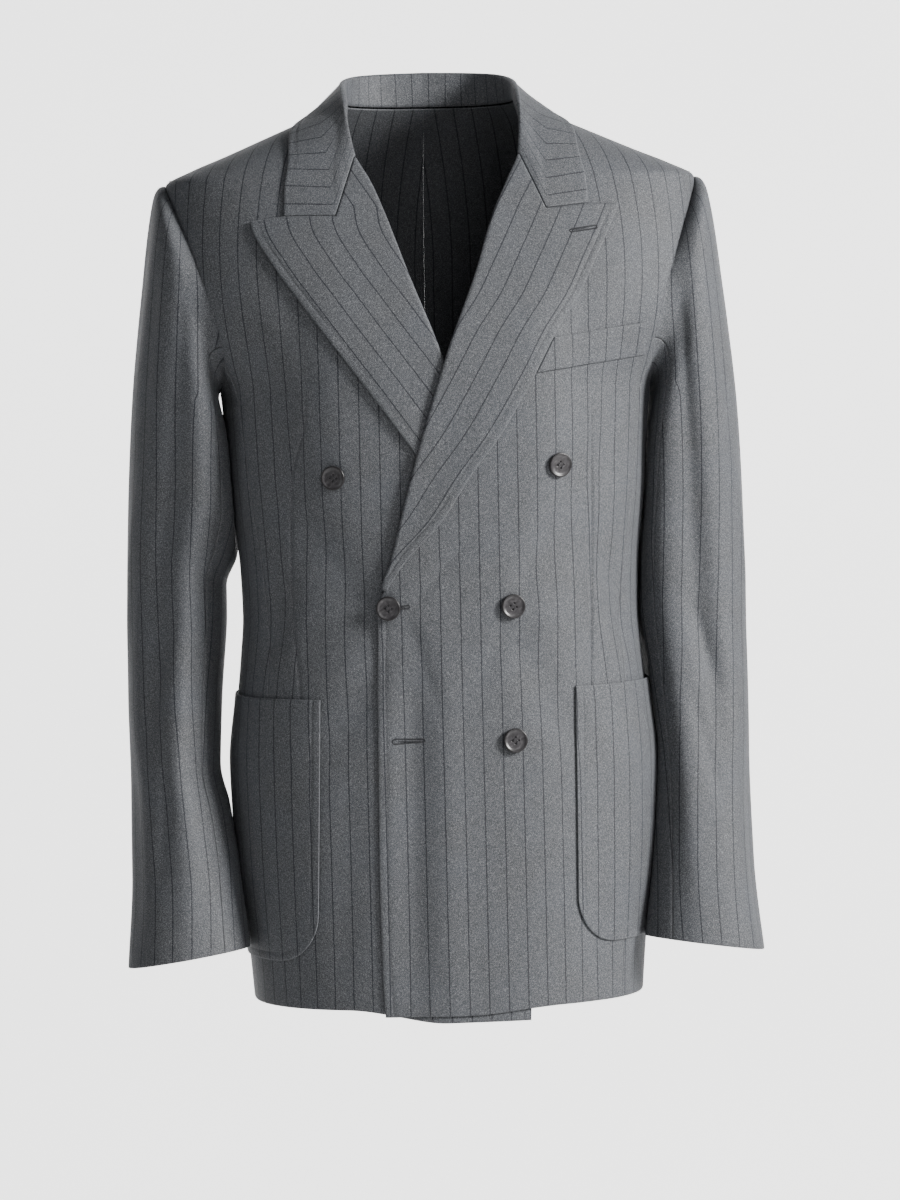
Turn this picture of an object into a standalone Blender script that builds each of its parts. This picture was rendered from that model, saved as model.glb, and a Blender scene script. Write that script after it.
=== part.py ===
"""A double-breasted peak-lapel blazer in its worn, hollow form.

Frame: metres, +Z up, the front faces -Y, +X is the wearer's left side.
The origin is the middle of the neck base, level with the two shoulder-neck points.
Every cloth piece is a wall of one thickness, whose faces are worked out from the cut:
rings round the trunk, rings down each sleeve, and short tables for edges, collar and folds.
"""
import math

import bmesh
import bpy
import numpy as np
from mathutils import Matrix, Vector

# Cloth and making
CLOTH = 0.0015          # thickness of one layer of the suiting
SEAM = 0.0003           # gap between two pieces that are sewn edge to edge
LAY = 0.0007            # gap between a piece and the panel that it lies on
ROLL = 0.00195          # outer radius of the turned roll edge
LIP = 0.0018            # how far the roll's centre lies past the front panel's edge
TURN = 0.0010           # length of turned cloth below the roll
ROLL_SWEEPS = np.array([0.0, 45.0, 90.0, 135.0])   # degrees round a roll where its section has points

# Trunk, measured at heights below the neck base: half width, depth in front, depth behind
SQUARENESS = 2.45       # exponent of each ring: 2 is an ellipse, more is squarer
TRUNK = [
    # z, half_width, front, back
    (-0.790, 0.1650, 0.1285, 0.1320), (-0.716, 0.1709, 0.1270, 0.1300),
    (-0.660, 0.1765, 0.1260, 0.1290), (-0.603, 0.1797, 0.1240, 0.1250),
    (-0.560, 0.1810, 0.1220, 0.1190), (-0.506, 0.1755, 0.1200, 0.1080),
    (-0.470, 0.1718, 0.1185, 0.1000), (-0.436, 0.1693, 0.1180, 0.0980),
    (-0.400, 0.1703, 0.1190, 0.1000), (-0.330, 0.1775, 0.1230, 0.1110),
    (-0.264, 0.1820, 0.1260, 0.1210), (-0.245, 0.1840, 0.1262, 0.1230),
    (-0.222, 0.1970, 0.1255, 0.1250), (-0.190, 0.2190, 0.1215, 0.1260),
    (-0.169, 0.2275, 0.1170, 0.1250), (-0.1437, 0.2310, 0.1100, 0.1220),
    (-0.1115, 0.2295, 0.0990, 0.1160), (-0.085, 0.2275, 0.0885, 0.1090),
    (-0.068, 0.2260, 0.0800, 0.1045), (-0.056, 0.2040, 0.0745, 0.1010),
    (-0.045, 0.1770, 0.0695, 0.0975), (-0.030, 0.1420, 0.0620, 0.0905),
    (-0.015, 0.1070, 0.0535, 0.0810), (0.0, 0.0730, 0.0450, 0.0700),
]
HEM = -0.7625           # height of the hem at the sides and behind
HEM_DROP = {"left": 0.0055, "right": 0.0115}   # how much lower each front edge's corner hangs
HEM_DROP_DEG = (38.0, 4.0)                     # angle from the centre front where that drop runs
HEM_DROP_RISE = 0.12                           # height over which the panel takes up the drop
BREAK = -0.418          # height where the lapels start to turn back
LAPEL_START = BREAK + 0.0065                   # lowest row of a lapel, just above the break
SHOULDER_TIP = -0.068   # height where the shoulder seam meets the sleeve

# Heights of the panels' shared rows, up to the armhole, and of each panel's shoulder rows
PANEL_ROWS = np.array([HEM, -0.725, -0.665, -0.605, -0.545, -0.490, -0.450, BREAK - 0.008,
                       LAPEL_START, -0.390, -0.355, -0.315, -0.270])
FRONT_SHOULDER_ROWS = np.array([-0.060, -0.0511, -0.0385, -0.0275, -0.019, -0.0095, -0.004, -0.0005])
BACK_SHOULDER_ROWS = np.array([-0.054, -0.038, -0.022, -0.010, -0.0005])
FRONT_COLUMNS, SIDE_COLUMNS, BACK_COLUMNS = 13, 7, 11

# Front edges: the fold of the roll line above the break, the cut edge below it
FRONT_EDGE = [
    # z, over_x (wearer's left front, on top), under_x (wearer's right front)
    (-0.790, -0.0580, 0.0600), (-0.740, -0.0612, 0.0620), (-0.660, -0.0625, 0.0628),
    (-0.560, -0.0612, 0.0628), (-0.460, -0.0592, 0.0620), (-0.420, -0.0574, 0.0600),
    (-0.388, -0.0471, 0.0480), (-0.333, -0.0328, 0.0328), (-0.280, -0.0175, 0.0172),
    (-0.2125, 0.0047, -0.0030), (-0.155, 0.0275, -0.0246), (-0.099, 0.0468, -0.0440),
    (-0.0745, 0.0585, -0.0535), (-0.046, 0.0706, -0.0675), (-0.015, 0.0722, -0.0715),
    (0.0, 0.0719, -0.0719),
]
LAPEL_EDGE = [
    # z, over_x, under_x
    (-0.4130, -0.0505, 0.0505), (-0.391, -0.0363, 0.0330), (-0.355, -0.0038, 0.0090),
    (-0.318, 0.0207, -0.0120), (-0.2848, 0.0455, -0.0352), (-0.238, 0.0735, -0.0685),
    (-0.1986, 0.0957, -0.0975), (-0.1688, 0.1160, -0.1185), (-0.1429, 0.1292, -0.1365),
    (-0.1048, 0.1481, -0.1553), (-0.094, 0.1530, -0.1560),
]
LAPEL_ROWS, LAPEL_COLUMNS = 15, 10
LAPEL_CORNER_COLUMN = 4                 # the column that ends at the gorge's corner
GORGE_START = -0.0515                   # height where the gorge seam meets the roll line
LAPEL_BELOW_GORGE, COLLAR_ABOVE_GORGE = 0.0007, 0.0004   # where the two pieces end there
NOTCH = {               # gorge corner, collar corner and peak: x, z
    "left": ((0.0908, -0.0973), (0.1268, -0.0936), (0.1530, -0.0938)),
    "right": ((-0.0850, -0.1005), (-0.1275, -0.1000), (-0.1560, -0.1034)),
}

# The over front rides above the under front and its lapel
OVER_CHEST = 0.0046     # how far its face stands out where it covers the under lapel
OVER_WAIST = 0.0023     # and where it covers the under front alone
OVER_INNER_X, OVER_OUTER_X = 0.068, 0.122   # it comes down to the trunk between these two
OVER_TOP_Z, OVER_CHEST_Z = -0.135, -0.205   # and starts to stand out between these two

# Armhole: an egg standing on the side of the trunk, top at the shoulder tip
ARM_TOP, ARM_LOW = SHOULDER_TIP, -0.245
ARM_FRONT, ARM_BACK = 0.0723, 0.0800      # reach to the front and to the back
ARM_FRONT_SKEW, ARM_BACK_SKEW = 0.40, 0.20
ARM_STEP = 360 / 26                       # degrees between the points that both sides of it share
SIDE_STEPS = 10                           # steps from its top to where each side seam meets it

# Side seams, as angles round the trunk from the centre front
HALF_SEAM_ANGLE = (SEAM / 2) / 0.15       # half a seam's gap, on a trunk about 0.15 m in radius
SIDE_SEAMS = [
    # z, front_deg, back_deg
    (-0.790, 60.0, 123.0), (-0.600, 62.0, 121.0), (-0.436, 65.5, 118.0), (-0.300, 69.0, 113.0),
]

# Collar: the fold over the neck, the outer edge on the trunk and the neck seam
COLLAR = [
    # along, fold_x, fold_y, fold_z, edge_deg, edge_z, seat_deg (0 on the front's edge), seat_z
    (0.00, 0.0000, 0.0765, 0.0310, 180.0, -0.0140, 180.0, 0.0000),
    (0.20, 0.0330, 0.0720, 0.0300, 154.0, -0.0145, 154.0, 0.0000),
    (0.40, 0.0600, 0.0510, 0.0268, 126.0, -0.0150, 127.0, 0.0000),
    (0.55, 0.0715, 0.0240, 0.0215, 104.0, -0.0146, 104.0, 0.0000),
    (0.65, 0.0740, 0.0030, 0.0165, 90.0, -0.0138, 90.0, 0.0000),
    (0.72, 0.0743, -0.0125, 0.0115, 81.5, -0.0180, 0.0, -0.0005),
    (0.76, 0.0743, -0.0250, 0.0055, 76.5, -0.0230, 0.0, -0.0040),
    (0.80, 0.0740, -0.0370, -0.0015, 71.5, -0.0300, 0.0, -0.0095),
    (0.85, 0.0734, -0.0470, -0.0115, 66.5, -0.0405, 0.0, -0.0190),
    (0.90, 0.0726, -0.0560, -0.0225, 62.5, -0.0540, 0.0, -0.0275),
    (0.95, 0.0712, -0.0640, -0.0365, 59.5, -0.0730, 0.0, -0.0385),
]
COLLAR_END = (1.00, 56.8, -0.0934)        # along, edge_deg, edge_z; its fold is the roll line's
NECK_CORNER = 0.72      # from here on the collar is sewn to the front's edge
COLLAR_FOLD = 0.0027    # outer radius of the collar's fold at the back of the neck
COLLAR_SPARE = 0.0004   # how much further than a lapel the leaf stays off the trunk
COLLAR_ROWS = np.array([0, 0.12, 0.24, 0.35, 0.45, 0.54, 0.62, 0.68, 0.72, 0.76, 0.80, 0.85,
                        0.90, 0.95, 1.0])
STAND_SHARES = np.array([0.0, 0.36, 0.70])
COLLAR_LEAF_COLUMNS, COLLAR_CORNER_COLUMN = 7, 3

# Sleeves: the outer and inner line seen from the front, then the section across it
SLEEVE = [
    # outer_x, outer_z, inner_x, inner_z, half_depth, middle_y, share_of_ring
    (0.2265, -0.0680, 0.1840, -0.2450, 0.0740, 0.0030, 0.00),
    (0.2312, -0.0664, 0.1856, -0.2470, 0.0752, 0.0030, 0.22),
    (0.2360, -0.0690, 0.1872, -0.2500, 0.0764, 0.0030, 0.48),
    (0.2390, -0.0765, 0.1882, -0.2545, 0.0776, 0.0030, 0.72),
    (0.2432, -0.1080, 0.1882, -0.2630, 0.0790, 0.0030, 0.93),
    (0.2475, -0.1467, 0.1880, -0.2760, 0.0790, 0.0035, 1.00),
    (0.2530, -0.1900, 0.1870, -0.2960, 0.0778, 0.0050, 1.00),
    (0.2580, -0.2350, 0.1852, -0.3200, 0.0758, 0.0080, 1.00),
    (0.2622, -0.2900, 0.1830, -0.3520, 0.0728, 0.0120, 1.00),
    (0.2648, -0.3500, 0.1808, -0.3900, 0.0694, 0.0165, 1.00),
    (0.2660, -0.4200, 0.1800, -0.4350, 0.0660, 0.0185, 1.00),
    (0.2655, -0.5000, 0.1845, -0.5050, 0.0622, 0.0090, 1.00),
    (0.2638, -0.5800, 0.1868, -0.5780, 0.0574, -0.0085, 1.00),
    (0.2640, -0.6500, 0.1872, -0.6450, 0.0522, -0.0270, 1.00),
    (0.2688, -0.7265, 0.1850, -0.7110, 0.0475, -0.0470, 1.00),
]
SLEEVE_SQUARENESS = 2.15
SLEEVE_RADIUS = 0.05    # about how far its lengthwise seams lie from its middle
SWING = {"left": 0.0, "right": 0.0055}    # how far each cuff hangs away from the trunk
SLEEVE_GAP = 0.0005     # how far inside the armhole's edge the sleeve starts
CUFF_SLANT = 0.0060     # the cuff's hem lies this much lower behind
TOP_SLEEVE_DEG = (-9 * ARM_STEP, 8 * ARM_STEP)   # front seam, over the outside, to the back seam
TOP_COLUMNS, UNDER_COLUMNS = 18, 10

# Largest folds: path from top to bottom, width, and how far in (-) or out (+)
TRUNK_FOLDS = [
    # z_top, z_low, deg_top, deg_low, width_deg, depth
    (-0.300, -0.430, 52.0, 30.0, 9.0, -0.0026),
    (-0.330, -0.445, -56.0, -28.0, 9.0, -0.0030),
    (-0.440, -0.560, 26.0, 46.0, 8.0, -0.0024),
    (-0.440, -0.570, -20.0, -48.0, 8.0, -0.0026),
    (-0.170, -0.330, 60.0, 56.0, 7.0, -0.0034),
    (-0.170, -0.340, -60.0, -54.0, 7.0, -0.0038),
    (-0.160, -0.360, 128.0, 134.0, 8.0, -0.0040),
    (-0.160, -0.370, -130.0, -137.0, 8.0, -0.0044),
    (-0.400, -0.470, 150.0, 160.0, 11.0, -0.0034),
    (-0.405, -0.465, -158.0, -148.0, 12.0, -0.0030),
    (-0.560, -0.780, 148.0, 150.0, 9.0, -0.0036),
    (-0.580, -0.780, -146.0, -150.0, 9.0, -0.0032),
]
SLEEVE_FOLDS = {
    # z_top, z_low, deg_top, deg_low, width_deg, depth; degrees as in sleeve_ring
    "left": [
        (-0.120, -0.600, -112.0, -66.0, 15.0, -0.0062),
        (-0.250, -0.700, -128.0, -100.0, 13.0, 0.0040),
        (-0.340, -0.480, 60.0, 118.0, 17.0, -0.0052),
        (-0.430, -0.560, 40.0, 128.0, 14.0, -0.0046),
        (-0.560, -0.740, -30.0, -22.0, 18.0, -0.0030),
    ],
    "right": [
        (-0.160, -0.560, -84.0, -58.0, 15.0, -0.0052),
        (-0.240, -0.720, -104.0, -88.0, 14.0, 0.0046),
        (-0.350, -0.490, 66.0, 122.0, 17.0, -0.0050),
        (-0.440, -0.580, 44.0, 124.0, 15.0, -0.0044),
        (-0.540, -0.740, -24.0, -30.0, 18.0, -0.0032),
    ],
}

# Patch pockets, breast welt and buttons
POCKETS = {
    # inner edge x, top z at the inner edge, rise of the top towards the side, bottom z
    "left": (0.1050, -0.4970, 0.0020, -0.7090),
    "right": (-0.1060, -0.5030, 0.0020, -0.7180),
}
POCKET_WIDTH = 0.165
POCKET_CORNER = 0.040
WELT_OUTER_X = 0.1722
WELT_SLOPE = 0.148
WELT_LOW_Z = -0.2205    # lower edge at the outer end
WELT_HEIGHT = 0.0268
WELT_GAP = 0.0008       # gap between its inner end and the lapel's edge
BUTTONS = {
    # x, z, over front or under front
    "button_chest_right": (-0.0925, -0.3180, "right"),
    "button_chest_left": (0.0942, -0.3110, "left"),
    "button_waist_right": (-0.0490, -0.4270, "left"),
    "button_waist_left": (0.0529, -0.4280, "left"),
    "button_low_left": (0.0526, -0.5400, "left"),
}
BUTTON_PROFILE = [
    # radius, height above the cloth, from the thread shank's foot round to the dished face
    (0.0013, 0.0000), (0.0013, 0.0012), (0.0092, 0.0012), (0.01025, 0.0021), (0.01025, 0.0033),
    (0.0095, 0.0040), (0.0085, 0.0039), (0.0077, 0.0032),
]
BUTTON_SIDES = 16
HOLE_RADIUS, HOLE_RING = 0.00085, 0.00265
HOLE_MIDDLE, HOLE_DEPTH = 0.0030, 0.0050

# Colours: base colour, roughness, metallic
SUITING = ((0.155, 0.160, 0.168, 1.0), 0.85, 0.0)
HORN = ((0.020, 0.019, 0.021, 1.0), 0.35, 0.0)


def column(table, index):
    return np.array([row[index] for row in table], float)


def pchip(at, knots, values):
    """Monotone cubic through the table's points, held level past its two ends."""
    step = np.diff(knots)
    slope = np.diff(values) / step
    tangent = np.zeros(len(knots))
    tangent[0], tangent[-1] = slope[0], slope[-1]
    before, after = slope[:-1], slope[1:]
    wide, near = 2 * step[1:] + step[:-1], step[1:] + 2 * step[:-1]
    same_way = before * after > 0
    safe_before = np.where(same_way, before, 1.0)
    safe_after = np.where(same_way, after, 1.0)
    harmonic = (wide + near) / (wide / safe_before + near / safe_after)
    tangent[1:-1] = np.where(same_way, harmonic, 0.0)
    at = np.clip(at, knots[0], knots[-1])
    cell = np.clip(np.searchsorted(knots, at, side="right") - 1, 0, len(step) - 1)
    width = step[cell]
    t = (at - knots[cell]) / width
    from_values = (1 + 2 * t) * (1 - t) ** 2 * values[cell] + t * t * (3 - 2 * t) * values[cell + 1]
    from_slopes = t * (1 - t) ** 2 * tangent[cell] + t * t * (t - 1) * tangent[cell + 1]
    return from_values + width * from_slopes


def smooth(value, low, high):
    """0 at low, 1 at high, with level ends; low may be the larger number."""
    t = np.clip((value - low) / (high - low), 0.0, 1.0)
    return t * t * (3 - 2 * t)


def unit(vectors):
    length = np.linalg.norm(vectors, axis=-1, keepdims=True)
    return vectors / np.maximum(length, 1e-12)


def folds(degrees, z, table):
    """Sum of soft troughs and ridges, each along its own slanting path."""
    total = np.zeros(np.broadcast(degrees, z).shape)
    for z_top, z_low, deg_top, deg_low, width, depth in table:
        along = (z - z_top) / (z_low - z_top)
        path = deg_top + (deg_low - deg_top) * along
        across = ((degrees - path + 180) % 360 - 180) / width
        ends = smooth(along, -0.15, 0.30) * smooth(along, 1.15, 0.70)
        total = total + depth * np.exp(-across * across) * ends
    return total


TRUNK_Z = column(TRUNK, 0)


def trunk_point(angle, z):
    """Point on the trunk's outer face; the angle runs from centre front to centre back."""
    angle, z = np.broadcast_arrays(np.asarray(angle, float), np.asarray(z, float))
    width = pchip(z, TRUNK_Z, column(TRUNK, 1))
    front = pchip(z, TRUNK_Z, column(TRUNK, 2))
    back = pchip(z, TRUNK_Z, column(TRUNK, 3))
    depth = np.where(np.cos(angle) >= 0, front, back)
    across = np.abs(np.sin(angle) / width) ** SQUARENESS
    along = np.abs(np.cos(angle) / depth) ** SQUARENESS
    radius = (across + along) ** (-1 / SQUARENESS) + folds(np.degrees(angle), z, TRUNK_FOLDS)
    return np.stack([radius * np.sin(angle), -radius * np.cos(angle), z], -1)


def trunk_normal(angle, z):
    """Outward normal of the trunk, from two short steps on the surface."""
    step_angle, step_z = 2e-3, 6e-4
    z = np.minimum(z, -step_z)
    around = trunk_point(angle + step_angle, z) - trunk_point(angle - step_angle, z)
    upward = trunk_point(angle, z + step_z) - trunk_point(angle, z - step_z)
    return unit(np.cross(around, upward))


def angle_at(x, z):
    """Angle on the front half whose point lies at x: found by halving the interval."""
    x, z = np.broadcast_arrays(np.asarray(x, float), np.asarray(z, float))
    low = np.full(x.shape, -math.pi / 2)
    high = np.full(x.shape, math.pi / 2)
    for _ in range(40):
        middle = (low + high) / 2
        beyond = trunk_point(middle, z)[..., 0] > x
        high = np.where(beyond, middle, high)
        low = np.where(beyond, low, middle)
    return (low + high) / 2


def over_lift(x, z):
    """How far the over front's face stands out from the trunk's own face."""
    sideways = smooth(x, OVER_OUTER_X, OVER_INNER_X)
    below_break = smooth(z, BREAK - 0.007, BREAK - 0.055)
    chest = OVER_CHEST * smooth(z, OVER_TOP_Z, OVER_CHEST_Z)
    return sideways * (chest + (OVER_WAIST - chest) * below_break)


def lift_of(side, x, z):
    return over_lift(x, z) if side == "left" else np.zeros(np.broadcast(x, z).shape)


def on_front(side, x, z, height):
    """Point above one front's face, given where it lies as seen from the front."""
    angle = angle_at(x, z)
    lift = lift_of(side, x, z) + height
    return trunk_point(angle, z) + trunk_normal(angle, z) * lift[..., None]


def roll_x(side, z):
    """x of the front edge as it shows: the roll line above the break, the cut edge below."""
    return pchip(z, column(FRONT_EDGE, 0), column(FRONT_EDGE, 1 if side == "left" else 2))


def panel_edge_x(side, z):
    """x of the front panel's own edge: behind the roll, and bare below the break."""
    sign = 1.0 if side == "left" else -1.0
    behind_roll = smooth(z, BREAK - 0.006, BREAK + 0.006) * smooth(z, -0.002, -0.030)
    return roll_x(side, z) + sign * behind_roll * (ROLL + LIP)


def armhole(turn):
    """Angle on the trunk and height of the armhole; turn 0 is the top, 90 the front, 180 below."""
    turn = np.radians(turn)
    z = (ARM_TOP + ARM_LOW) / 2 + (ARM_TOP - ARM_LOW) / 2 * np.cos(turn)
    ahead = np.sin(turn) >= 0
    reach = np.where(ahead, ARM_FRONT, ARM_BACK)
    skew = np.where(ahead, ARM_FRONT_SKEW, ARM_BACK_SKEW)
    y = -reach * np.sin(turn) * (1 - skew * np.cos(turn))
    depth = pchip(z, TRUNK_Z, column(TRUNK, 2)) * ahead + pchip(z, TRUNK_Z, column(TRUNK, 3)) * ~ahead
    width = pchip(z, TRUNK_Z, column(TRUNK, 1))
    x = width * (1 - np.abs(y / depth) ** SQUARENESS) ** (1 / SQUARENESS)
    return np.arctan2(x, -y), z


def cloth_wall(name, face, hidden):
    """Closed wall of cloth between two grids of points, rows by columns."""
    rows, columns = face.shape[:2]
    points = np.concatenate([face.reshape(-1, 3), hidden.reshape(-1, 3)])
    index = np.arange(rows * columns).reshape(rows, columns)
    quads = []

    def add(a, b, c, d):
        quads.extend(np.stack([a.ravel(), b.ravel(), c.ravel(), d.ravel()], 1).tolist())

    back = index + rows * columns
    add(index[:-1, :-1], index[:-1, 1:], index[1:, 1:], index[1:, :-1])
    add(back[:-1, :-1], back[1:, :-1], back[1:, 1:], back[:-1, 1:])
    add(index[0, 1:], index[0, :-1], back[0, :-1], back[0, 1:])
    add(index[-1, :-1], index[-1, 1:], back[-1, 1:], back[-1, :-1])
    add(index[:-1, 0], index[1:, 0], back[1:, 0], back[:-1, 0])
    add(index[1:, -1], index[:-1, -1], back[:-1, -1], back[1:, -1])
    mesh = bpy.data.meshes.new(name)
    mesh.from_pydata(points.tolist(), [], quads)
    shape = bmesh.new()
    shape.from_mesh(mesh)
    bmesh.ops.triangulate(shape, faces=shape.faces[:])
    bmesh.ops.recalc_face_normals(shape, faces=shape.faces[:])
    shape.to_mesh(mesh)
    shape.free()
    place_piece(name, mesh, SUITING)


def place_piece(name, mesh, settings):
    """Object for one piece, shaded smooth but for its edges, with its own material."""
    mesh.shade_smooth()
    mesh.set_sharp_from_angle(angle=math.radians(40))
    colour, roughness, metallic = settings
    finish = bpy.data.materials.new(name + "_finish")
    finish.use_nodes = True
    shader = finish.node_tree.nodes["Principled BSDF"]
    shader.inputs["Base Color"].default_value = colour
    shader.inputs["Roughness"].default_value = roughness
    shader.inputs["Metallic"].default_value = metallic
    finish.diffuse_color = colour
    mesh.materials.append(finish)
    piece = bpy.data.objects.new(name, mesh)
    bpy.context.scene.collection.objects.link(piece)
    return piece


def grid_normals(grid):
    """Normals of a free grid of points, turned so that columns cross rows to the outside."""
    along = np.gradient(grid, axis=0)
    across = np.gradient(grid, axis=1)
    return unit(np.cross(across, along))


def mirrored(side, angle):
    return angle if side == "left" else -angle


def panel(name, side, angle, z, lift=0.0):
    """Trunk panel from its angles and heights; its face stands lift above the trunk."""
    angle = mirrored(side, angle)
    point = trunk_point(angle, z)
    normal = trunk_normal(angle, z)
    lift = np.broadcast_to(lift, z.shape)[..., None]
    return cloth_wall(name, point + normal * lift, point + normal * (lift - CLOTH))


def side_seam(z, which):
    """Angle of the front or back side seam, running up into the armhole."""
    turn = ARM_STEP * SIDE_STEPS
    top_angle, top_z = armhole(np.array(turn if which == "front" else -turn))
    knots = np.append(column(SIDE_SEAMS, 0), top_z)
    values = np.append(column(SIDE_SEAMS, 1 if which == "front" else 2), math.degrees(top_angle))
    return np.radians(pchip(z, knots, values))


def hem_height(side, angle):
    """Height of the hem, dropping towards the front edges; the under front hangs lower."""
    return HEM - HEM_DROP[side] * smooth(np.degrees(angle), *HEM_DROP_DEG)


def with_hem(side, angle, z):
    """Rows of heights with the lowest ones drawn down to the hem."""
    return z + (hem_height(side, angle) - HEM) * smooth(z, HEM + HEM_DROP_RISE, HEM)


def make_front(side):
    """Front panel: from the roll line or front edge to the side seam, armhole and shoulder."""
    turns = ARM_STEP * np.arange(SIDE_STEPS, -1, -1.0)
    arm_angle, arm_z = armhole(turns)
    low = PANEL_ROWS
    ridge = FRONT_SHOULDER_ROWS
    rows = np.concatenate([low, arm_z, ridge])
    seam_side = side_seam(low, "front") - HALF_SEAM_ANGLE
    outer = np.concatenate([seam_side, arm_angle, np.full(len(ridge), math.pi / 2)])
    outer[-len(ridge) - 1:] = math.pi / 2 - HALF_SEAM_ANGLE
    sign = 1.0 if side == "left" else -1.0
    inner = sign * angle_at(panel_edge_x(side, rows), rows)
    share = np.linspace(0, 1, FRONT_COLUMNS)[None, :]
    angle = inner[:, None] + (outer - inner)[:, None] * share
    z = with_hem(side, angle, np.repeat(rows[:, None], angle.shape[1], 1))
    x = trunk_point(mirrored(side, angle), z)[..., 0]
    panel(f"front_{side}", side, angle, z, lift_of(side, x, z))


def make_side(side):
    """Side panel: under the arm, between the two side seams."""
    share = np.linspace(0, 1, SIDE_COLUMNS)[None, :]
    turns = ARM_STEP * SIDE_STEPS + (360 - 2 * ARM_STEP * SIDE_STEPS) * share
    top = armhole(turns)[1]
    z = np.concatenate([np.repeat(PANEL_ROWS[:, None], share.shape[1], 1), top])
    front = side_seam(z, "front") + HALF_SEAM_ANGLE
    back = side_seam(z, "back") - HALF_SEAM_ANGLE
    at_top = armhole(turns)[0]
    even = front + (back - front) * share
    angle = even + (at_top - even) * (np.arange(len(z)) == len(z) - 1)[:, None]
    angle[:, 0], angle[:, -1] = front[:, 0], back[:, -1]
    panel(f"side_{side}", side, angle, z)


def make_back(side):
    """Back panel: from the side seam, armhole and shoulder to the centre-back seam."""
    turns = -ARM_STEP * np.arange(SIDE_STEPS, -1, -1.0)
    arm_angle, arm_z = armhole(turns)
    low = PANEL_ROWS
    ridge = BACK_SHOULDER_ROWS
    rows = np.concatenate([low, arm_z, ridge])
    seam_side = side_seam(low, "back") + HALF_SEAM_ANGLE
    outer = np.concatenate([seam_side, arm_angle, np.full(len(ridge), math.pi / 2)])
    outer[-len(ridge) - 1:] = math.pi / 2 + HALF_SEAM_ANGLE
    share = np.linspace(0, 1, BACK_COLUMNS)[None, :]
    centre = math.pi - HALF_SEAM_ANGLE
    angle = outer[:, None] + (centre - outer[:, None]) * share
    z = np.repeat(rows[:, None], angle.shape[1], 1)
    panel(f"back_{side}", side, angle, z)


def sleeve_ring(side, turn, station):
    """Sleeve surface: turn 0 is the outside, -90 the front, 90 the back; station counts rows."""
    knots = np.arange(len(SLEEVE), dtype=float)
    outer_x, outer_z, inner_x, inner_z, half, middle, share = (
        pchip(station, knots, column(SLEEVE, k)) for k in range(7))
    cosine, sine = np.cos(np.radians(turn)), np.sin(np.radians(turn))
    radius = (np.abs(cosine) ** SLEEVE_SQUARENESS + np.abs(sine) ** SLEEVE_SQUARENESS)
    across, along = (part * radius ** (-1 / SLEEVE_SQUARENESS) for part in (cosine, sine))
    x = (outer_x + inner_x) / 2 + (outer_x - inner_x) / 2 * across
    z = (outer_z + inner_z) / 2 + (outer_z - inner_z) / 2 * across
    y = middle + half * along
    cuff = smooth(station, len(SLEEVE) - 4.0, len(SLEEVE) - 1.0)
    z = z - CUFF_SLANT * cuff * (0.5 + 0.5 * along)
    depth = folds(turn, z, SLEEVE_FOLDS[side]) * smooth(station, 1.5, 4.0)
    outward = unit(np.stack([across / np.maximum(outer_x - inner_x, 0.02), along / (2 * half)], -1))
    x = x + outward[..., 0] * depth + SWING[side] * smooth(-z, 0.25, 0.65)
    y = y + outward[..., 1] * depth
    ring = np.stack([x, y, z], -1)
    seam_deg = -turn
    seam_angle_there, seam_z = armhole(seam_deg)
    seam = trunk_point(seam_angle_there, seam_z)
    step = 1.0
    before, after = armhole(seam_deg - step), armhole(seam_deg + step)
    along_seam = trunk_point(after[0], after[1]) - trunk_point(before[0], before[1])
    into_hole = unit(np.cross(trunk_normal(seam_angle_there, seam_z), along_seam))
    seam = seam + into_hole * SLEEVE_GAP
    blend = share[..., None]
    return seam * (1 - blend) + ring * blend


def make_sleeve(side, name, start, end, columns):
    """One half of a sleeve, between its two lengthwise seams."""
    rows = np.concatenate([[0, 0.6, 1.3], np.arange(2.0, len(SLEEVE))])
    half_gap = math.degrees(SEAM / 2 / SLEEVE_RADIUS)
    turn = np.linspace(start + half_gap, end - half_gap, columns)[None, :]
    station = rows[:, None] + 0.0 * turn
    turn = turn + 0.0 * station
    face = sleeve_ring(side, turn, station)
    step_turn, step_station = 1.0, 0.05
    low = np.clip(station - step_station, 0, len(SLEEVE) - 1)
    high = np.clip(station + step_station, 0, len(SLEEVE) - 1)
    around = sleeve_ring(side, turn + step_turn, station) - sleeve_ring(side, turn - step_turn, station)
    down = sleeve_ring(side, turn, high) - sleeve_ring(side, turn, low)
    normal = unit(np.cross(down, around))
    hidden = face - normal * CLOTH
    if side == "right":
        face, hidden = face * (-1, 1, 1), hidden * (-1, 1, 1)
    cloth_wall(name, face, hidden)


def make_sleeves(side):
    start, end = TOP_SLEEVE_DEG
    make_sleeve(side, f"top_sleeve_{side}", start, end, TOP_COLUMNS)
    make_sleeve(side, f"under_sleeve_{side}", end, start + 360, UNDER_COLUMNS)


def shifted(points, distance):
    """A bent line moved sideways by one distance, mitred at its corners."""
    points = np.asarray(points, float)
    runs = unit(np.diff(points, axis=0))
    normals = np.stack([-runs[:, 1], runs[:, 0]], 1)
    first, last = normals[:1], normals[-1:]
    inner = (normals[:-1] + normals[1:]) / (1 + (normals[:-1] * normals[1:]).sum(1, keepdims=True))
    return points + np.concatenate([first, inner, last]) * distance


def notch_line(side, gap, last):
    """Gorge seam and notch as seen from the front, moved gap towards the collar (+) or lapel (-)."""
    sign = 1.0 if side == "left" else -1.0
    start = (panel_edge_x(side, np.array(GORGE_START)) - sign * LIP, GORGE_START)
    points = [start, *NOTCH[side]]
    return shifted(points, sign * gap)[:last]


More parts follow.
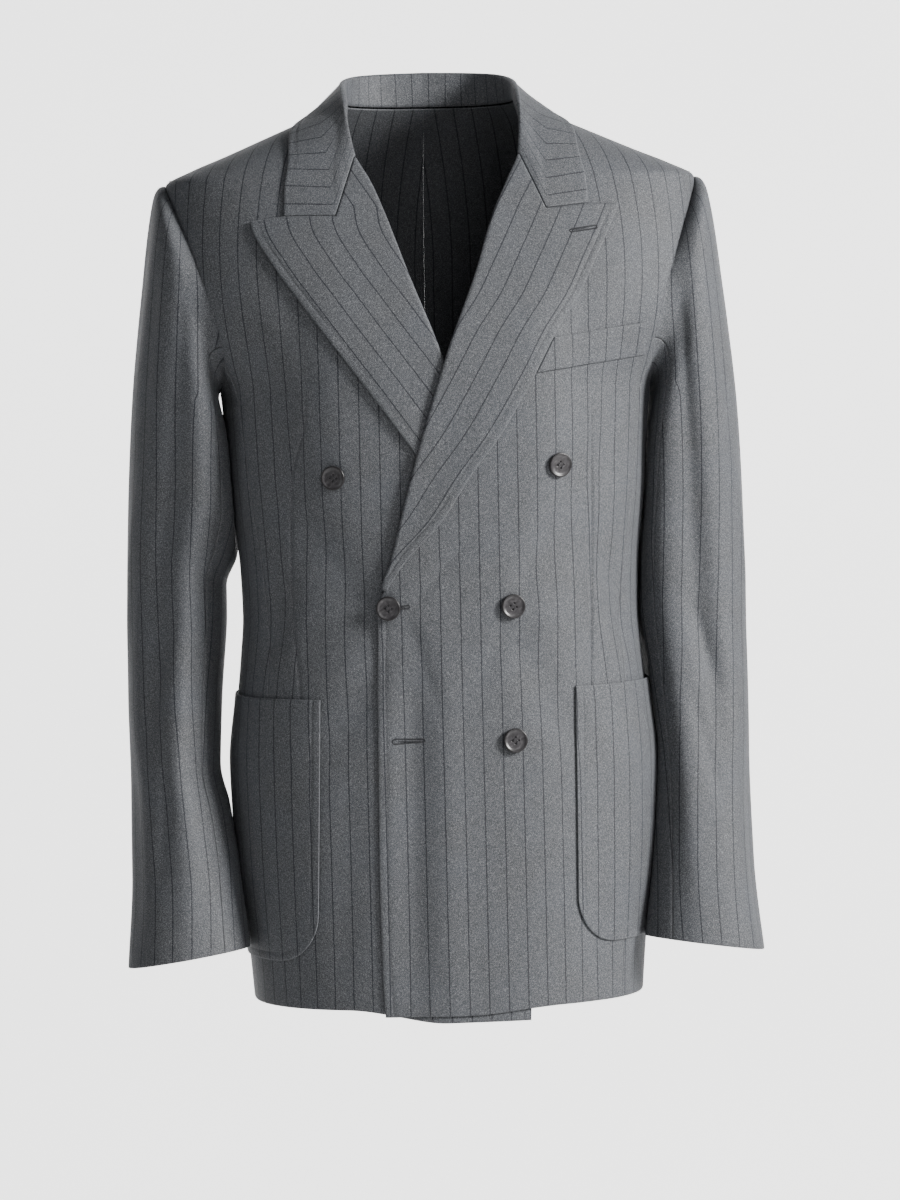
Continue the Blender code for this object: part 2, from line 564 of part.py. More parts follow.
def along_line(points, shares, corner_share):
    """Points spread along a bent line of 3 or 4 corners, with a column on its first corner."""
    lengths = np.concatenate([[0], np.cumsum(np.linalg.norm(np.diff(points, axis=0), axis=1))])
    place = np.where(shares <= corner_share, shares / corner_share * lengths[1],
                     lengths[1] + (shares - corner_share) / (1 - corner_share)
                     * (lengths[-1] - lengths[1]))
    return np.stack([np.interp(place, lengths, points[:, k]) for k in range(2)], -1)


def roll_section(sweep, radius):
    """Offsets (past the edge, above the face) round the roll, from its inner foot to the leaf."""
    angle = np.radians(sweep)
    past = LIP + radius * np.sin(angle)
    above = (CLOTH + LAY - ROLL) - radius * np.cos(angle)
    past, above = np.append(past[0] - TURN, past), np.append(above[0], above)
    return past, above


def make_lapel(side):
    """Lapel: the front's turned-back top, rolled over the roll line and lying on the front."""
    up = np.linspace(0, 1, LAPEL_ROWS)
    roll_z = LAPEL_START + (GORGE_START - LAPEL_BELOW_GORGE - LAPEL_START) * up
    x = panel_edge_x(side, roll_z)
    sign = 1.0 if side == "left" else -1.0
    angle = angle_at(x, roll_z)
    normal = trunk_normal(angle, roll_z)
    edge = on_front(side, x, roll_z, 0.0 * x)
    tangent = unit(np.gradient(edge, axis=0))
    past_edge = unit(np.cross(tangent, normal)) * -sign
    past, above = roll_section(ROLL_SWEEPS, ROLL)
    lip = (edge[:, None] + past_edge[:, None] * past[None, :, None]
           + normal[:, None] * above[None, :, None])
    shares = np.linspace(0, 1, LAPEL_COLUMNS)
    corner = shares[LAPEL_CORNER_COLUMN]
    edge_z = LAPEL_EDGE[0][0] + (NOTCH[side][2][1] - LAPEL_EDGE[0][0]) * up ** 1.15
    edge_x = pchip(edge_z, column(LAPEL_EDGE, 0), column(LAPEL_EDGE, 1 if side == "left" else 2))
    inner_line = np.stack([x - sign * LIP, roll_z], -1)
    outer_line = np.stack([edge_x, edge_z], -1)
    top = along_line(notch_line(side, -SEAM, 4), shares, corner)
    inner_line[-1], outer_line[-1] = top[0], top[-1]
    plain = inner_line[:, None] + (outer_line - inner_line)[:, None] * shares[None, :, None]
    bend = top - (top[0] + (top[-1] - top[0]) * shares[:, None])
    weight = smooth(up, 0.45, 1.0)[:, None, None]
    plan = plain + bend[None] * weight
    leaf = on_front(side, plan[..., 0], plan[..., 1], np.full(plan.shape[:2], LAY + CLOTH))
    beneath = on_front(side, plan[..., 0], plan[..., 1], np.full(plan.shape[:2], LAY))
    lip_past, lip_above = roll_section(ROLL_SWEEPS, ROLL - CLOTH)
    inner_lip = (edge[:, None] + past_edge[:, None] * lip_past[None, :, None]
                 + normal[:, None] * lip_above[None, :, None])
    face = np.concatenate([lip, leaf], 1)
    hidden = np.concatenate([inner_lip, beneath], 1)
    cloth_wall(f"lapel_{side}", face, hidden)


def collar_half(side, along):
    """Half of the collar, from the centre back (along 0) to the gorge seam (along 1)."""
    sign = 1.0 if side == "left" else -1.0
    knots = np.append(column(COLLAR, 0), 1.0)
    end_z = GORGE_START + COLLAR_ABOVE_GORGE
    seat_z_knots = np.append(column(COLLAR, 7), end_z)
    ring_deg = column(COLLAR, 6)
    edge_deg = np.degrees(sign * angle_at(panel_edge_x(side, seat_z_knots), seat_z_knots))
    seat_deg = np.where(np.append(ring_deg, 0.0) > 0, np.append(ring_deg, 0.0), edge_deg)
    seat_z = pchip(along, knots, seat_z_knots)
    seat_angle = np.radians(pchip(along, knots, seat_deg))
    exact = sign * angle_at(panel_edge_x(side, seat_z), seat_z)
    seat_angle = np.where(along >= NECK_CORNER, exact, seat_angle)
    lift = lift_of(side, panel_edge_x(side, seat_z), seat_z)
    normal = trunk_normal(sign * seat_angle, seat_z)
    seat = trunk_point(sign * seat_angle, seat_z) + normal * lift[:, None]
    tangent = unit(np.gradient(seat, axis=0))
    past_edge = unit(np.cross(tangent, normal)) * sign
    depth_in = CLOTH + LAY - ROLL
    end_fold = seat[-1] + past_edge[-1] * (LIP + ROLL) + normal[-1] * depth_in
    edge_x = panel_edge_x(side, seat_z_knots)
    aside = sign * edge_x - panel_edge_x("left", seat_z_knots)
    fold_x = np.append(column(COLLAR, 1) + aside[:-1] * (column(COLLAR, 6) == 0), sign * end_fold[0])
    radius = ROLL + (COLLAR_FOLD - ROLL) * smooth(along, 0.98, 0.70)
    fold = np.stack([
        sign * pchip(along, knots, fold_x),
        pchip(along, knots, np.append(column(COLLAR, 2), end_fold[1])),
        pchip(along, knots, np.append(column(COLLAR, 3), end_fold[2])),
    ], -1)
    at_end = smooth(along, 0.80, 1.0)[:, None]
    rise = unit(fold - seat - normal * depth_in)
    rise = unit(rise * (1 - at_end) + past_edge * at_end)
    from_neck = unit(fold * (1.0, 1.0, 0.0)) * (1 - at_end) + normal * at_end
    outward = unit(from_neck - rise * (from_neck * rise).sum(-1, keepdims=True))
    centre = fold - rise * radius[:, None]
    arc_start = centre - outward * radius[:, None]
    foot_back = seat + past_edge * 2 * SEAM - outward * CLOTH
    foot_end = arc_start - rise * TURN
    foot = foot_back * (1 - at_end) + foot_end * at_end
    stand = foot[:, None] + (arc_start - foot)[:, None] * STAND_SHARES[None, :, None]
    stand_hidden = stand + outward[:, None] * CLOTH
    sweeps = np.radians(ROLL_SWEEPS)
    out_part, rise_part = -np.cos(sweeps)[None, :, None], np.sin(sweeps)[None, :, None]
    turning = outward[:, None] * out_part + rise[:, None] * rise_part
    arc = centre[:, None] + turning * radius[:, None, None]
    arc_hidden = arc - turning * CLOTH
    leaf_start = centre + outward * radius[:, None]
    edge_knots_deg = np.append(column(COLLAR, 4), COLLAR_END[1])
    edge_knots_z = np.append(column(COLLAR, 5), COLLAR_END[2])
    leaf_edge_angle = np.radians(pchip(along, knots, edge_knots_deg))
    leaf_edge_z = pchip(along, knots, edge_knots_z)
    leaf_normal = trunk_normal(sign * leaf_edge_angle, leaf_edge_z)
    leaf_edge = trunk_point(sign * leaf_edge_angle, leaf_edge_z) + leaf_normal * (LAY + CLOTH)
    spread = np.linspace(0, 1, COLLAR_LEAF_COLUMNS)
    line = notch_line(side, SEAM, 3)
    notch = along_line(line, spread, spread[COLLAR_CORNER_COLUMN])
    end_row = on_front(side, notch[:, 0], notch[:, 1], np.full(len(spread), LAY + CLOTH))
    leaf = leaf_start[:, None] + (leaf_edge - leaf_start)[:, None] * spread[None, :, None]
    straight_end = leaf[-1]
    leaf = leaf + (end_row - straight_end)[None] * smooth(along, 0.70, 1.0)[:, None, None]
    leaf = clear_of_trunk(side, leaf, CLOTH + LAY + COLLAR_SPARE * (1 - at_end))
    weight = smooth(along, 0.80, 1.0)[:, None, None]
    normals = unit(grid_normals(leaf) * -sign * (1 - weight) + nearest_normal(leaf) * weight)
    normals[:, 0] = unit(normals[:, 0] + outward)
    face = np.concatenate([stand, arc, leaf], 1)
    return face, np.concatenate([stand_hidden, arc_hidden, leaf - normals * CLOTH], 1)


def nearest_normal(points):
    return trunk_normal(np.arctan2(points[..., 0], -points[..., 1]), np.minimum(points[..., 2], 0.0))


def clear_of_trunk(side, points, height):
    """Points moved out along the trunk's normal until they stand at least height above it."""
    for _ in range(4):
        angle = np.arctan2(points[..., 0], -points[..., 1])
        z = np.minimum(points[..., 2], 0.0)
        surface = trunk_point(angle, z)
        normal = trunk_normal(angle, z)
        lift = lift_of(side, points[..., 0], z)
        above = ((points - surface) * normal).sum(-1) - lift
        points = points + normal * np.maximum(height - above, 0.0)[..., None]
    return points


def make_collar():
    """Collar: one strip of cloth with its stand inside the neck and its leaf turned down."""
    left, left_hidden = collar_half("left", COLLAR_ROWS)
    right, right_hidden = collar_half("right", COLLAR_ROWS)
    face = np.concatenate([right[:0:-1], left])
    hidden = np.concatenate([right_hidden[:0:-1], left_hidden])
    cloth_wall("collar", face, hidden)


def arc_angles(side, start_x, z, lengths):
    """Angles that lie at given lengths of cloth, measured round the trunk from start_x."""
    begin = angle_at(np.array(start_x), np.array(z))
    sign = 1.0 if side == "left" else -1.0
    fine = begin + sign * np.linspace(0, math.pi / 2, 400)
    points = trunk_point(fine, z)
    run = np.concatenate([[0], np.cumsum(np.linalg.norm(np.diff(points, axis=0), axis=1))])
    return np.interp(lengths, run, fine)


def make_pocket(side):
    """Patch pocket: follows the panels, moved out, with two round lower corners."""
    start_x, top_z, rise, low_z = POCKETS[side]
    corner = POCKET_CORNER / POCKET_WIDTH
    bend = 1 - np.cos(np.radians(np.linspace(0, 90, 5)))
    shares = np.concatenate([corner * bend, np.linspace(corner, 1 - corner, 9)[1:-1],
                             1 - corner * bend[::-1]])
    angle = arc_angles(side, start_x, (top_z + low_z) / 2, POCKET_WIDTH * shares)
    from_edge = np.minimum(shares, 1 - shares) * POCKET_WIDTH
    inside = np.clip(POCKET_CORNER - from_edge, 0, POCKET_CORNER)
    bottom = low_z + POCKET_CORNER - np.sqrt(POCKET_CORNER ** 2 - inside ** 2)
    top = top_z + rise * shares
    up = np.linspace(0, 1, 9)[:, None]
    z = bottom + (top - bottom) * up
    angle = angle[None] + 0.0 * z
    point = trunk_point(angle, z)
    normal = trunk_normal(angle, z)
    lift = lift_of(side, point[..., 0], z)[..., None]
    face = point + normal * (lift + LAY + CLOTH)
    hidden = point + normal * (lift + LAY)
    cloth_wall(f"pocket_{side}", face, hidden)


def make_welt():
    """Breast welt: a slanting strip on the left chest, from the lapel's edge outwards."""
    across = np.linspace(0, 1, 9)[None, :]
    up = np.linspace(0, 1, 4)[:, None]
    outer_z = WELT_LOW_Z + WELT_HEIGHT * up
    inner_x = 0.5 * WELT_OUTER_X
    for _ in range(6):
        inner_z = outer_z - WELT_SLOPE * (WELT_OUTER_X - inner_x)
        inner_x = pchip(inner_z, column(LAPEL_EDGE, 0), column(LAPEL_EDGE, 1)) + WELT_GAP
    x = inner_x + (WELT_OUTER_X - inner_x) * across
    z = outer_z - WELT_SLOPE * (WELT_OUTER_X - x)
    face = on_front("left", x, z, np.full(x.shape, LAY + CLOTH))
    hidden = on_front("left", x, z, np.full(x.shape, LAY))
    cloth_wall("breast_welt", face, hidden)


def ring_of(shape, radius, height, sides):
    turns = [2 * math.pi * k / sides for k in range(sides)]
    return [shape.verts.new((radius * math.cos(t), radius * math.sin(t), height)) for t in turns]


def make_button(name, x, z, side):
    """Four-hole button with a raised rim, standing on its thread shank."""
    shape = bmesh.new()
    rings = [ring_of(shape, radius, height, BUTTON_SIDES) for radius, height in BUTTON_PROFILE]
    shape.faces.new(rings[0])
    shape.faces.new(rings[-1])
    for low, high in zip(rings, rings[1:]):
        for k in range(BUTTON_SIDES):
            after = (k + 1) % BUTTON_SIDES
            shape.faces.new((low[k], low[after], high[after], high[k]))
    bmesh.ops.recalc_face_normals(shape, faces=shape.faces[:])
    mesh = bpy.data.meshes.new(name)
    shape.to_mesh(mesh)
    shape.free()
    button = place_piece(name, mesh, HORN)
    x, z = np.array(x), np.array(z)
    place = on_front(side, x, z, np.array(SEAM))
    outward = Vector(trunk_normal(angle_at(x, z), z))
    turn = outward.to_track_quat("Z", "Y").to_matrix().to_4x4()
    button.matrix_world = Matrix.Translation(Vector(place)) @ turn
    cutter = make_hole_cutter(name + "_holes")
    cutter.matrix_world = button.matrix_world
    cut = button.modifiers.new("holes", "BOOLEAN")
    cut.object = cutter
    cut.operation = "DIFFERENCE"


def make_hole_cutter(name):
    """Four small prisms that cut the thread holes; a guide, not a piece."""
    shape = bmesh.new()
    for k in range(4):
        turn = math.pi / 4 + k * math.pi / 2
        centre = (HOLE_RING * math.cos(turn), HOLE_RING * math.sin(turn), HOLE_MIDDLE)
        bmesh.ops.create_cone(shape, cap_ends=True, segments=6, radius1=HOLE_RADIUS,
                              radius2=HOLE_RADIUS, depth=HOLE_DEPTH,
                              matrix=Matrix.Translation(centre))
    mesh = bpy.data.meshes.new(name)
    shape.to_mesh(mesh)
    shape.free()
    cutter = bpy.data.objects.new(name, mesh)
    cutter.hide_render = True
    cutter.display_type = "WIRE"
    bpy.context.scene.collection.objects.link(cutter)
    return cutter


def main():
    for thing in list(bpy.data.objects):
        bpy.data.objects.remove(thing, do_unlink=True)
    for side in ("left", "right"):
        make_front(side)
        make_side(side)
        make_back(side)
        make_sleeves(side)
        make_lapel(side)
        make_pocket(side)
    make_collar()
    make_welt()
    for name, (x, z, side) in BUTTONS.items():
        make_button(name, x, z, side)


main()
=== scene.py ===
# %% [markdown]
# # A double breasted blazer, as a lesson in cells
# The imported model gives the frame: where every panel, pocket and button lies, in metres.
# Here the same jacket gets its looks: fine cloth, creases, stripes, stitching and buttons.
# A jacket could be draped by a cloth simulation. Tailored cloth is pressed and padded into
# its form, though, so every panel here is a surface worked out from the cut. The trunk's
# seams stay where the frame has them. The sleeves hang up to two centimetres closer to the
# trunk than the frame's plain ones, as they do in the picture.

import math

import bmesh
import bpy
import numpy as np
from mathutils import Matrix

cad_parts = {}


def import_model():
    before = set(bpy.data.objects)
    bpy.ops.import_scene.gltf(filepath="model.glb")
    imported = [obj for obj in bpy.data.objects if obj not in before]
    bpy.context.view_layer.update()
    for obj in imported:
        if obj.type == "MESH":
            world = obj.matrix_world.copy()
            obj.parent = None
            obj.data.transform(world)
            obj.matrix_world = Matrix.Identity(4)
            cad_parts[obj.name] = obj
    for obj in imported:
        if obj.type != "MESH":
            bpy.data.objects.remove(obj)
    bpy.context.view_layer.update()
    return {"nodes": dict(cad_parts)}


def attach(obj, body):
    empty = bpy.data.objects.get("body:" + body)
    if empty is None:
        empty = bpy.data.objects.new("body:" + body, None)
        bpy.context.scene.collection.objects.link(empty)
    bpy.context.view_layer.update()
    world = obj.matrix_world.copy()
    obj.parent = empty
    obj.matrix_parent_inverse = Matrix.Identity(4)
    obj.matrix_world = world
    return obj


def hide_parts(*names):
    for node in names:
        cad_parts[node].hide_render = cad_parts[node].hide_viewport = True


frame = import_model()
print("frame holds", len(frame["nodes"]), "nodes")

# %% [markdown]
# ## The camera
# The picture was taken from a little to one side with a long lens. Its place was worked out
# from pairs of points that lie level on a real jacket. The lens follows from the picture's
# height in pixels, and the small roll is the camera's own tilt.

# %% Camera
PICTURE_HEIGHT = 1200
LENS_PIXELS = 4193.0
SENSOR_MM = 36.0
EYE = np.array([-0.2135, -3.5937, -0.272])
AZIMUTH, ROLL_TILT = math.radians(3.4), math.radians(1.3)
CLIP_END = 50.0
AIM_RIGHT, AIM_UP = 0.002444, -0.04298      # how far the middle of the picture lies off level



def placement(right, up, back, place):
    """Matrix of something that looks along -back, with its own right and up."""
    matrix = np.eye(4)
    matrix[:3] = np.stack([right, up, back, place], 1)
    return Matrix(matrix.tolist())


ahead = np.array([math.sin(AZIMUTH), math.cos(AZIMUTH), 0.0])
rightward = np.array([math.cos(AZIMUTH), -math.sin(AZIMUTH), 0.0])
upward = np.array([0.0, 0.0, 1.0])
look = ahead + rightward * AIM_RIGHT + upward * AIM_UP
look /= np.linalg.norm(look)
camera_up = rightward * math.sin(ROLL_TILT) + upward * math.cos(ROLL_TILT)
camera_up -= look * (camera_up @ look)
camera_up /= np.linalg.norm(camera_up)
camera_right = np.cross(look, camera_up)
camera = bpy.data.objects.new("camera", bpy.data.cameras.new("camera"))
bpy.context.scene.collection.objects.link(camera)
camera.matrix_world = placement(camera_right, camera_up, -look, EYE)
camera.data.lens = SENSOR_MM * LENS_PIXELS / PICTURE_HEIGHT
camera.data.sensor_width = SENSOR_MM
camera.data.clip_end = CLIP_END
bpy.context.scene.camera = camera
print("lens", round(camera.data.lens, 1), "mm")

# %% [markdown]
# ## Sizes of the cut
# These tables are the garment's pattern. Each row of the trunk is a ring round the body,
# given by half its width and its depths in front and behind. The rest are edges and seams.

# %% Cloth and trunk sizes
CLOTH, SEAM = 0.0015, 0.0003
LAY = 0.0007                                # air under a piece that lies on another
ROLL, LIP, TURN = 0.00195, 0.0018, 0.0010   # radius of a roll, its reach past the edge, its turn-in
SQUARENESS = 2.45                           # 2 would be an ellipse
TRUNK = np.array([
    # z, half_width, front, back
    (-0.790, 0.1650, 0.1285, 0.1320), (-0.716, 0.1709, 0.1270, 0.1300),
    (-0.660, 0.1765, 0.1260, 0.1290), (-0.603, 0.1797, 0.1240, 0.1250),
    (-0.560, 0.1810, 0.1220, 0.1190), (-0.506, 0.1755, 0.1200, 0.1080),
    (-0.470, 0.1718, 0.1185, 0.1000), (-0.436, 0.1693, 0.1180, 0.0980),
    (-0.400, 0.1703, 0.1190, 0.1000), (-0.330, 0.1775, 0.1230, 0.1110),
    (-0.264, 0.1820, 0.1260, 0.1210), (-0.245, 0.1840, 0.1262, 0.1230),
    (-0.222, 0.1970, 0.1255, 0.1250), (-0.190, 0.2190, 0.1215, 0.1260),
    (-0.169, 0.2275, 0.1170, 0.1250), (-0.1437, 0.2310, 0.1100, 0.1220),
    (-0.1115, 0.2295, 0.0990, 0.1160), (-0.085, 0.2275, 0.0885, 0.1090),
    (-0.068, 0.2260, 0.0800, 0.1045), (-0.056, 0.2040, 0.0745, 0.1010),
    (-0.045, 0.1770, 0.0695, 0.0975), (-0.030, 0.1420, 0.0620, 0.0905),
    (-0.015, 0.1070, 0.0535, 0.0810), (0.0, 0.0730, 0.0450, 0.0700),
])
HEM = -0.7625
HEM_DROP = {"left": 0.0055, "right": 0.0115}
HEM_DROP_DEG = (38.0, 4.0)
HEM_DROP_RISE = 0.12
BREAK = -0.418
LAPEL_START = BREAK + 0.0065
OVER_CHEST, OVER_WAIST = 0.0046, 0.0023
OVER_INNER_X, OVER_OUTER_X = 0.068, 0.122
OVER_TOP_Z, OVER_CHEST_Z = -0.135, -0.205

# %% Edges, armholes and side seams
FRONT_EDGE = np.array([
    # z, over_x (wearer's left front, on top), under_x (wearer's right front)
    (-0.790, -0.0580, 0.0600), (-0.740, -0.0612, 0.0620), (-0.660, -0.0625, 0.0628),
    (-0.560, -0.0612, 0.0628), (-0.460, -0.0592, 0.0620), (-0.420, -0.0574, 0.0600),
    (-0.388, -0.0471, 0.0480), (-0.333, -0.0328, 0.0328), (-0.280, -0.0175, 0.0172),
    (-0.2125, 0.0047, -0.0030), (-0.155, 0.0275, -0.0246), (-0.099, 0.0468, -0.0440),
    (-0.0745, 0.0585, -0.0535), (-0.046, 0.0706, -0.0675), (-0.015, 0.0722, -0.0715),
    (0.0, 0.0719, -0.0719),
])
EDGE_COLUMN = {"left": 1, "right": 2}
LAPEL_EDGE = np.array([
    # z, over_x, under_x
    (-0.4130, -0.0505, 0.0505), (-0.391, -0.0363, 0.0330), (-0.355, -0.0038, 0.0090),
    (-0.318, 0.0207, -0.0120), (-0.2848, 0.0455, -0.0352), (-0.238, 0.0735, -0.0685),
    (-0.1986, 0.0957, -0.0975), (-0.1688, 0.1160, -0.1185), (-0.1429, 0.1292, -0.1365),
    (-0.1048, 0.1481, -0.1553), (-0.094, 0.1530, -0.1560),
])
GORGE_START = -0.0515
LAPEL_BELOW_GORGE, COLLAR_ABOVE_GORGE = 0.0007, 0.0004
NOTCH = {
    # gorge corner, collar corner and peak: x, z
    "left": ((0.0908, -0.0973), (0.1268, -0.0936), (0.1530, -0.0938)),
    "right": ((-0.0850, -0.1005), (-0.1275, -0.1000), (-0.1560, -0.1034)),
}
ARM_TOP, ARM_LOW = -0.068, -0.245
ARM_FRONT, ARM_BACK = 0.0723, 0.0800
ARM_FRONT_SKEW, ARM_BACK_SKEW = 0.40, 0.20
ARM_STEP = 360 / 26
SIDE_STEPS = 10
HALF_SEAM_ANGLE = (SEAM / 2) / 0.15
SIDE_SEAMS = np.array([
    # z, front_deg, back_deg
    (-0.790, 60.0, 123.0), (-0.600, 62.0, 121.0), (-0.436, 65.5, 118.0), (-0.300, 69.0, 113.0),
])

# %% [markdown]
# ## Creases
# Worn cloth has a few soft troughs and ridges: pulls towards the fastened waist button,
# hollows beside the arms, folds at the bend of each elbow. Each row here is one of them,
# with its own length, width and depth, so that no two are alike.
# The first rows are the large ones that the frame's solids have too.

# %% Tables of folds and creases
TRUNK_FOLDS = np.array([
    # z_top, z_low, deg_top, deg_low, width_deg, depth
    (-0.300, -0.430, 52.0, 30.0, 9.0, -0.0026), (-0.330, -0.445, -56.0, -28.0, 9.0, -0.0030),
    (-0.440, -0.560, 26.0, 46.0, 8.0, -0.0024), (-0.440, -0.570, -20.0, -48.0, 8.0, -0.0026),
    (-0.170, -0.330, 60.0, 56.0, 7.0, -0.0034), (-0.170, -0.340, -60.0, -54.0, 7.0, -0.0038),
    (-0.160, -0.360, 128.0, 134.0, 8.0, -0.0040), (-0.160, -0.370, -130.0, -137.0, 8.0, -0.0044),
    (-0.400, -0.470, 150.0, 160.0, 11.0, -0.0034), (-0.405, -0.465, -158.0, -148.0, 12.0, -0.0030),
    (-0.560, -0.780, 148.0, 150.0, 9.0, -0.0036), (-0.580, -0.780, -146.0, -150.0, 9.0, -0.0032),
])
TRUNK_CREASES = np.array([
    # z_top, z_low, deg_top, deg_low, width_deg, depth
    (-0.440, -0.780, -14.5, -16.5, 6.5, -0.0034), (-0.450, -0.800, -1.0, -2.5, 6.5, 0.0016),
    (-0.432, -0.520, -17.0, -4.0, 3.2, -0.0011), (-0.372, -0.424, 8.0, -14.0, 3.6, -0.0010),
    (-0.425, -0.500, 24.0, 12.0, 3.4, -0.0008), (-0.350, -0.424, 38.0, 28.0, 4.0, -0.0011),
    (-0.385, -0.470, 60.0, 68.0, 4.2, -0.0022), (-0.405, -0.500, 52.0, 60.0, 3.6, 0.0014),
    (-0.395, -0.480, -58.0, -66.0, 4.2, -0.0020), (-0.420, -0.490, -50.0, -58.0, 3.8, 0.0012),
    (-0.150, -0.260, 50.0, 46.0, 4.5, -0.0013), (-0.155, -0.250, -51.0, -46.0, 4.5, -0.0014),
    (-0.190, -0.330, -41.0, -36.0, 6.0, 0.0010), (-0.200, -0.340, 40.0, 37.0, 6.0, 0.0009),
    (-0.560, -0.770, 52.0, 50.0, 5.0, -0.0014), (-0.540, -0.770, -36.0, -40.0, 5.0, -0.0013),
    (-0.150, -0.280, 146.0, 150.0, 5.0, -0.0016), (-0.160, -0.270, -150.0, -154.0, 5.0, -0.0014),
    (-0.385, -0.430, 120.0, 140.0, 6.0, -0.0022), (-0.430, -0.500, 128.0, 118.0, 5.0, -0.0018),
    (-0.390, -0.440, -122.0, -142.0, 6.0, -0.0024), (-0.440, -0.510, -130.0, -119.0, 5.0, -0.0016),
    (-0.060, -0.140, 158.0, 150.0, 7.0, -0.0012), (-0.055, -0.150, -160.0, -150.0, 7.0, -0.0013),
])
SLEEVE_FOLDS = {
    # z_top, z_low, deg_top, deg_low, width_deg, depth; 0 is the outside, -90 the front
    "left": np.array([
        (-0.120, -0.600, -112.0, -66.0, 15.0, -0.0062), (-0.250, -0.700, -128.0, -100.0, 13.0, 0.0040),
        (-0.340, -0.480, 60.0, 118.0, 17.0, -0.0052), (-0.430, -0.560, 40.0, 128.0, 14.0, -0.0046),
        (-0.560, -0.740, -30.0, -22.0, 18.0, -0.0030),
        (-0.100, -0.300, -52.0, -44.0, 9.0, -0.0013), (-0.090, -0.240, -26.0, -18.0, 10.0, -0.0010),
        (-0.300, -0.440, -40.0, -20.0, 9.0, 0.0014), (-0.420, -0.520, -94.0, -60.0, 9.0, -0.0022),
        (-0.500, -0.600, -100.0, -72.0, 8.0, -0.0016), (-0.130, -0.330, 40.0, 46.0, 12.0, -0.0018),
        (-0.380, -0.450, 84.0, 130.0, 8.0, 0.0020), (-0.620, -0.740, 60.0, 52.0, 12.0, -0.0020),
    ]),
    "right": np.array([
        (-0.160, -0.560, -84.0, -58.0, 15.0, -0.0052), (-0.240, -0.720, -104.0, -88.0, 14.0, 0.0046),
        (-0.350, -0.490, 66.0, 122.0, 17.0, -0.0050), (-0.440, -0.580, 44.0, 124.0, 15.0, -0.0044),
        (-0.540, -0.740, -24.0, -30.0, 18.0, -0.0032),
        (-0.110, -0.320, -46.0, -40.0, 9.0, -0.0014), (-0.090, -0.230, -20.0, -12.0, 10.0, -0.0009),
        (-0.330, -0.470, -30.0, -14.0, 9.0, 0.0013), (-0.430, -0.540, -86.0, -52.0, 9.0, -0.0020),
        (-0.560, -0.660, -78.0, -60.0, 8.0, -0.0016), (-0.140, -0.340, 44.0, 40.0, 12.0, -0.0016),
        (-0.390, -0.460, 90.0, 132.0, 8.0, 0.0018), (-0.640, -0.740, 52.0, 60.0, 12.0, -0.0018),
    ]),
}
print("creases on the trunk:", len(TRUNK_FOLDS) + len(TRUNK_CREASES))

# %% [markdown]
# ## Small tools for curves
# A monotone cubic goes through each table's points without overshooting, so a waist stays a
# waist. Python's own interpolation would leave a kink at every row.

# %% Curve helpers
def pchip(at, knots, values):
    """Monotone cubic: each knot's slope is the harmonic mean of its two neighbours' slopes."""
    step = np.diff(knots)
    slope = np.diff(values) / step
    tangent = np.zeros(len(knots))
    tangent[0], tangent[-1] = slope[0], slope[-1]
    before, after = slope[:-1], slope[1:]
    wide, near = 2 * step[1:] + step[:-1], step[1:] + 2 * step[:-1]
    same_way = before * after > 0
    safe_before, safe_after = np.where(same_way, before, 1.0), np.where(same_way, after, 1.0)
    harmonic = (wide + near) / (wide / safe_before + near / safe_after)
    tangent[1:-1] = np.where(same_way, harmonic, 0.0)
    at = np.clip(at, knots[0], knots[-1])
    cell = np.clip(np.searchsorted(knots, at, side="right") - 1, 0, len(step) - 1)
    width = step[cell]
    t = (at - knots[cell]) / width
    from_values = (1 + 2 * t) * (1 - t) ** 2 * values[cell] + t * t * (3 - 2 * t) * values[cell + 1]
    from_slopes = t * (1 - t) ** 2 * tangent[cell] + t * t * (t - 1) * tangent[cell + 1]
    return from_values + width * from_slopes


def smooth(value, low, high):
    """0 at low and 1 at high, with level ends; low may be the larger number."""
    t = np.clip((value - low) / (high - low), 0.0, 1.0)
    return t * t * (3 - 2 * t)


def unit(vectors):
    """Each vector divided by its own length."""
    return vectors / np.maximum(np.linalg.norm(vectors, axis=-1, keepdims=True), 1e-12)


def run_length(points):
    """Distance along a line of points, from 0 at the first."""
    return np.concatenate([[0], np.cumsum(np.linalg.norm(np.diff(points, axis=0), axis=1))])


def folds(degrees, z, table):
    """Sum of bell-shaped troughs and ridges, each along its own slanting path."""
    total = np.zeros(np.broadcast(degrees, z).shape)
    for z_top, z_low, deg_top, deg_low, width, depth in table:
        along = (z - z_top) / (z_low - z_top)
        path = deg_top + (deg_low - deg_top) * along
        across = ((degrees - path + 180) % 360 - 180) / width
        ends = smooth(along, -0.15, 0.30) * smooth(along, 1.15, 0.70)
        total = total + depth * np.exp(-across * across) * ends
    return total


# %% [markdown]
# ## The trunk as one surface
# A ring that is a little squarer than an ellipse gives the flat front of a pressed jacket.
# Its radius comes straight from the angle, so a point on the cloth is one formula, and its
# normal is the cross product of two short steps on it.

# %% Trunk surface
def trunk_sizes(z):
    """Half width, front depth and back depth of the ring at a height."""
    return (pchip(z, TRUNK[:, 0], TRUNK[:, k]) for k in (1, 2, 3))


def trunk_radius(angle, z):
    """Radius of the superellipse whose half axes the table gives at this height."""
    width, front, back = trunk_sizes(z)
    depth = np.where(np.cos(angle) >= 0, front, back)
    across = np.abs(np.sin(angle) / width) ** SQUARENESS
    along = np.abs(np.cos(angle) / depth) ** SQUARENESS
    return (across + along) ** (-1 / SQUARENESS)


CREASES = np.concatenate([TRUNK_FOLDS, TRUNK_CREASES])


